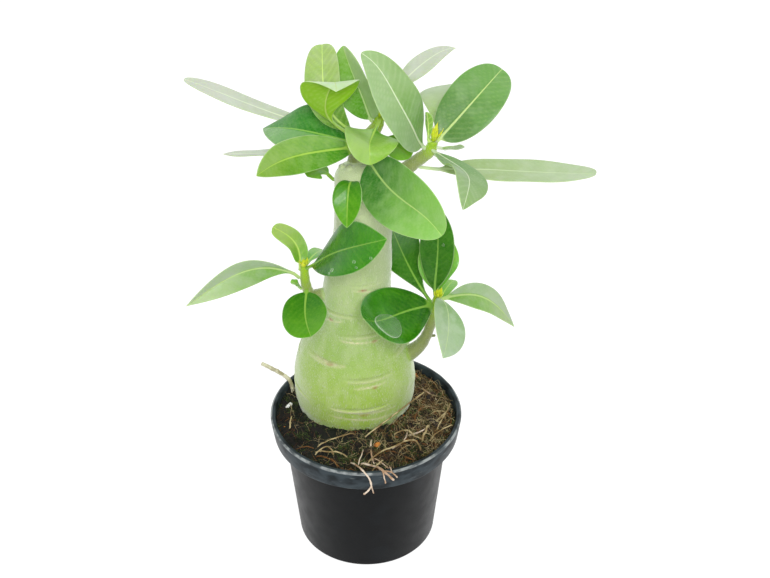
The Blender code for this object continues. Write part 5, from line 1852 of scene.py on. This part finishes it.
@dataclass
class Studio:
    """A pale card under soft light, and the camera at the photograph's angle."""
    target: Vector = field(default_factory=lambda: Vector((10.5, 0, 163)))
    pitch: float = 34.5
    distance: float = 724.0
    lens: float = 65.0
    card: float = 3000.0           # half the card's size
    sunk: float = 0.05             # how far the card lies below the pot's foot
    softbox: tuple[float, float, float] = (50, -700, 690)
    softbox_size: float = 240.0
    softbox_power: float = 5.6
    horizon: str = "#E6EAEC"
    zenith: str = "#FFFFFF"
    front: float = 0.46            # the sky's strength before and behind the plant
    back: float = 1.4
    left: float = 0.08             # how much brighter it is on the left than in the middle

    def sky(self) -> bpy.types.World:
        """A white sky, bright behind the plant and dim before it.

        Returns:
            The world.
        """
        world = bpy.data.worlds.new("white_sky")
        world.use_nodes = True
        wiring = Wiring(world.node_tree)
        ray = wiring.add("ShaderNodeTexCoord", (), "Generated")
        x, y, z = wiring.add("ShaderNodeSeparateXYZ", (ray,)).node.outputs
        colour = wiring.add("ShaderNodeMix", {
            0: wiring.add("ShaderNodeMapRange", (z, 0.0, 1.0)), 6: linear(self.horizon),
            7: linear(self.zenith)}, 2, data_type="RGBA")
        depth = wiring.add("ShaderNodeMapRange", (y, -0.2, 0.75, self.front, self.back), **SMOOTH)
        shade = wiring.add("ShaderNodeMath", (x, -self.left, 1.0), operation="MULTIPLY_ADD")
        strength = wiring.add("ShaderNodeMath", (depth, shade), operation="MULTIPLY")
        wiring.feed(world.node_tree.nodes["Background"], {"Color": colour, "Strength": strength})
        return world

    def build(self) -> None:
        """The card, the softbox, the world and the camera."""
        corners = [(x * self.card, y * self.card, 0) for x, y in ((-1, -1), (1, -1), (1, 1), (-1, 1))]
        floor = mesh_piece("floor", (corners, [(0, 1, 2, 3)]), closed=False)
        floor.data.materials.append(CARD.material())
        floor.location.z = -self.sunk * MM
        floor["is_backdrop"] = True
        scene = bpy.context.scene
        scene.world = self.sky()
        light = bpy.data.lights.new("key_softbox", "AREA")
        light.size = self.softbox_size * MM
        light.energy = self.softbox_power
        lamp = add_object("key_softbox", light)
        lamp.location = Vector(self.softbox) * MM
        lamp.rotation_mode = "QUATERNION"
        lamp.rotation_quaternion = (self.target - Vector(self.softbox)).to_track_quat("-Z", "Y")
        camera = bpy.data.cameras.new("photograph_angle")
        camera.lens = self.lens
        camera.sensor_width = 36
        holder = add_object("photograph_angle", camera)
        pitch = radians(self.pitch)
        back = Vector((0, -cos(pitch), sin(pitch)))
        holder.location = (self.target + back * self.distance) * MM
        holder.rotation_euler = (pi / 2 - pitch, 0, 0)
        scene.camera = holder
        scene.view_settings.view_transform = "Standard"


def planted_shoots(stem_top: Points) -> list[Shoot]:
    """The four shoots and the stem's top, with their leaves in the order of Leaf's fields.

    Args:
        stem_top: x, y, z and radius of the stem's top, where two leaves sit on it directly.

    Returns:
        The shoots.
    """
    return [
        Shoot("right_crown", ((6, 9, 215, 8), (15, 8, 224, 5), (24, 6, 234, 3.4), (32, 4, 242, 3),
                              (34, 4, 248, 2.4)), (
            (Blade.CROWN, 0.9, (68.1, 28.2, 274.9), 27.2, 2.1, 2.5, -39, 4, 0.53, 0.38, 0.06, 0.52, 7,
             (0, 0), 60),
            (Blade.GREY, 0.79, (-0.5, -8.2, 300.4), 23, 2.4, -14.9, 49, 4, 0.5, 0.61, 0.04, 0.85, 36,
             (0.45, 0)),
            (Blade.LIME, 0.99, (30.6, -0.8, 266.3), 5, 1, 0, 0, 30, 0.62, 0.55, 0.08, 0.5, 0, (0, 0), 220),
            (Blade.SILVER, 0.83, (45.1, 53.9, 254.2), 28.9, 7.1, 1.2, 8, 11, 0.67, 0.67, 0.14, 0.51, 11,
             (0, 0), 85),
            (Blade.GREY, 0.84, (46.6, -45.2, 238.5), 23.3, 4, -9, 17, 4, 0.48, 0.8, 0.03, 0.77, 30,
             (0, 0.3)),
            (Blade.SILVER, 0.52, (115.3, 4.8, 229), 21.8, -5.6, -9.6, -10, 4, 0.6, 0.36, 0.11, 0.55, 12),
            (Blade.FAR, 0.84, (50.2, 27.5, 231.2), 7, 0, 0, 34, 5, 0.62, 0.55, 0.08, 0.5, 0, (0, 0), 20),
            (Blade.FAR, 0.74, (47, 27.7, 219.5), 5, 0, 0, 34, 5, 0.62, 0.55, 0.08, 0.5, 0, (0, 0),
             20)), 9.5),
        Shoot("left_crown", ((-2, 13, 220, 8), (-3, 14, 231, 5.5), (-1, 13.5, 241, 4),
                             (6, 14, 250, 3.2), (8, 14, 256, 2.4)), (
            (Blade.LIME, 0.56, (-20.2, 28.7, 287.8), 18, 5.2, -15.6, 54, 13, 0.64, 0.34, 0.08, 0.62, 1),
            (Blade.SHEEN, 0.81, (-9.8, 23.1, 289.6), 23.6, 3.3, -3.7, 80, 27, 0.47, 0.61, 0.03, 0.38, 15,
             (0, 0.55)),
            (Blade.CUPPED, 0.56, (-11.9, -20.8, 286.8), 29.1, 7.6, 11.8, -9, 4, 0.75, 1.09, 0.15, 0.84, -16),
            (Blade.GLOSSY, 0.46, (-51, 26.8, 242.8), 32.3, 7, -8.1, 42, 6, 0.36, 0.92, 0.03, 0.52, -26,
             (0.4, 0), 163),
            (Blade.BRIGHT, 0.47, (-48.8, -38.3, 252.6), 18.8, -1.3, 9.5, 43, 4, 0.41, 0.85, 0, 0.48, 4,
             (0, 0.25), -140),
            (Blade.BRIGHT, 0.96, (3.4, -19, 247.5), 28.6, 5.6, 1.6, 8, 22, 0.7, 0.74, 0.11, 0.8, 8,
             (0, 0.4)),
            (Blade.LARGE, 0.43, (37.1, -47.4, 225.6), 31.3, 3.4, 3.9, -52, 20, 0.52, 0.45, 0.07, 0.79, -2),
            (Blade.SHADED, 0.62, (23.3, 4.2, 239), 15, 2, 0, -25, 12),
            (Blade.FAR, 0.58, (-91.8, 47, 260.4), 11.3, -6, 1.3, 5, 4, 0.67, 0.45, 0.09, 0.3, 6, (0, 0),
             122),
            (Blade.FAR, 0.35, (-73.2, 35, 223.6), 9.3, 1.4, -3.7, -9, 7, 0.64, 0.79, 0.08, 0.47, 5, (0, 0),
             140),
            (Blade.FAR, 0.96, (46.7, 56.8, 273), 12.5, 2.1, -7.7, -10, 4, 0.65, 1.1, 0.1, 0.85, -2)), 7.0),
        Shoot("stem_top", stem_top, (
            (Blade.FRESH, 0.83, (-7.9, -26.8, 217.2), 15.1, 13.5, 0.5, -4, 12, 0.52, 0.85, 0.09, 0.32, -1),
            (Blade.SHADED, 0.7, (-28.6, 10, 224.6), 16.5, 2, 4, 0, 8, 0.63, 0.7, 0.2))),
        Shoot("left_side", ((-12, 12, 152, 5), (-22, 9, 153.5, 3.6), (-28.5, 6, 155.5, 2.9),
                            (-31, 5, 163, 2.6), (-31.5, 5, 174, 2.1)), (
            (Blade.TENDER, 0.92, (-47, 9, 195.4), 11, 3.4, 5.1, 36, 24, 0.52, 0.22, 0.1, 0.34, 14),
            (Blade.SILVERY, 0.84, (-93, -6, 156.1), 18.1, 7.9, 7.6, 80, 32, 0.47, 1.04, 0.04, 0.3, 3,
             (0, 0.5)),
            (Blade.DEEP, 0.99, (11.5, -37.1, 217.4), 27.4, 3, 2.1, -29, 4, 0.53, 0.88, 0.05, 0.37, -50),
            (Blade.FRESH, 0.69, (-27.3, -26, 151.5), 24.5, -1.6, 1.8, -8, 14, 0.54, 0.36, 0.04, 0.53, -7),
            (Blade.YOUNG, 0.68, (-38.9, 4.3, 164.5), 6, 1, 0, 0, 12),
            (Blade.YOUNG, 0.97, (-22, 34, 165), 10, 2, 0, 0, 12)), 5.0),
        Shoot("right_side", ((14, 12, 106, 6), (27, 8, 118, 4), (33, 5, 130, 2.8), (36, 3, 145, 2.6),
                             (38, 2, 156, 2.2)), (
            (Blade.DARKEST, 0.83, (13.8, 52.3, 169.1), 26.6, 5.5, -4.1, 35, 14, 0.71, 0.64, 0.04, 0.56, -2),
            (Blade.DARKEST, 0.99, (37.8, 17.1, 201.9), 19.2, 1.7, 0.7, 8, 15, 0.55, 0.66, 0.04, 0.51, 6),
            (Blade.DEEP, 0.89, (-0.4, -36.8, 170.8), 32.5, -5.8, 4.3, 40, 4, 0.49, 0.75, 0, 0.63, -10),
            (Blade.LOWER_GREY, 0.96, (39.2, -48.4, 154.5), 25.9, 8.6, -4, 34, 4, 0.59, 1.09, 0.04, 0.3, 28),
            (Blade.SILVERY, 0.99, (79.2, -0.5, 138.8), 15.8, 11.1, 1.7, -31, 4, 0.4, 1.1, 0.03, 0.44, 6,
             (0.5, 0)),
            (Blade.YOUNG, 0.8, (48.1, 30.1, 148.2), 9, 2, 0, 0, 12),
            (Blade.YOUNG, 0.88, (43.2, 22.8, 181.2), 22.1, 2.1, -2.9, -13, 12, 0.59, 0.69, 0.12, 0.49, -1,
             (0, 0), 60)), 6.0)]


def main() -> None:
    """Builds every sub-assembly in order."""
    logging.basicConfig(level=logging.INFO, format="%(name)s: %(message)s")
    pot = NurseryPot()
    stem = SwollenStem([])
    crown = [(*stem.centre(height), stem.radius(height)) for height in (203, 211, 219, 225, 227)]
    shoots = planted_shoots(crown)
    stem.shoots = shoots
    pot.build()
    PottingMix(pot, stem).build()
    stem.build()
    Foliage(shoots).build()
    for shoot in shoots:
        if shoot.bud_length:
            Bud(shoot).build()
    Studio().build()
    boxes = {"solids": SOLIDS_BOX, "visual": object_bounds()}
    {name: [list(corner) for corner in box] for name, box in boxes.items()}


if __name__ == "__main__":
    main()
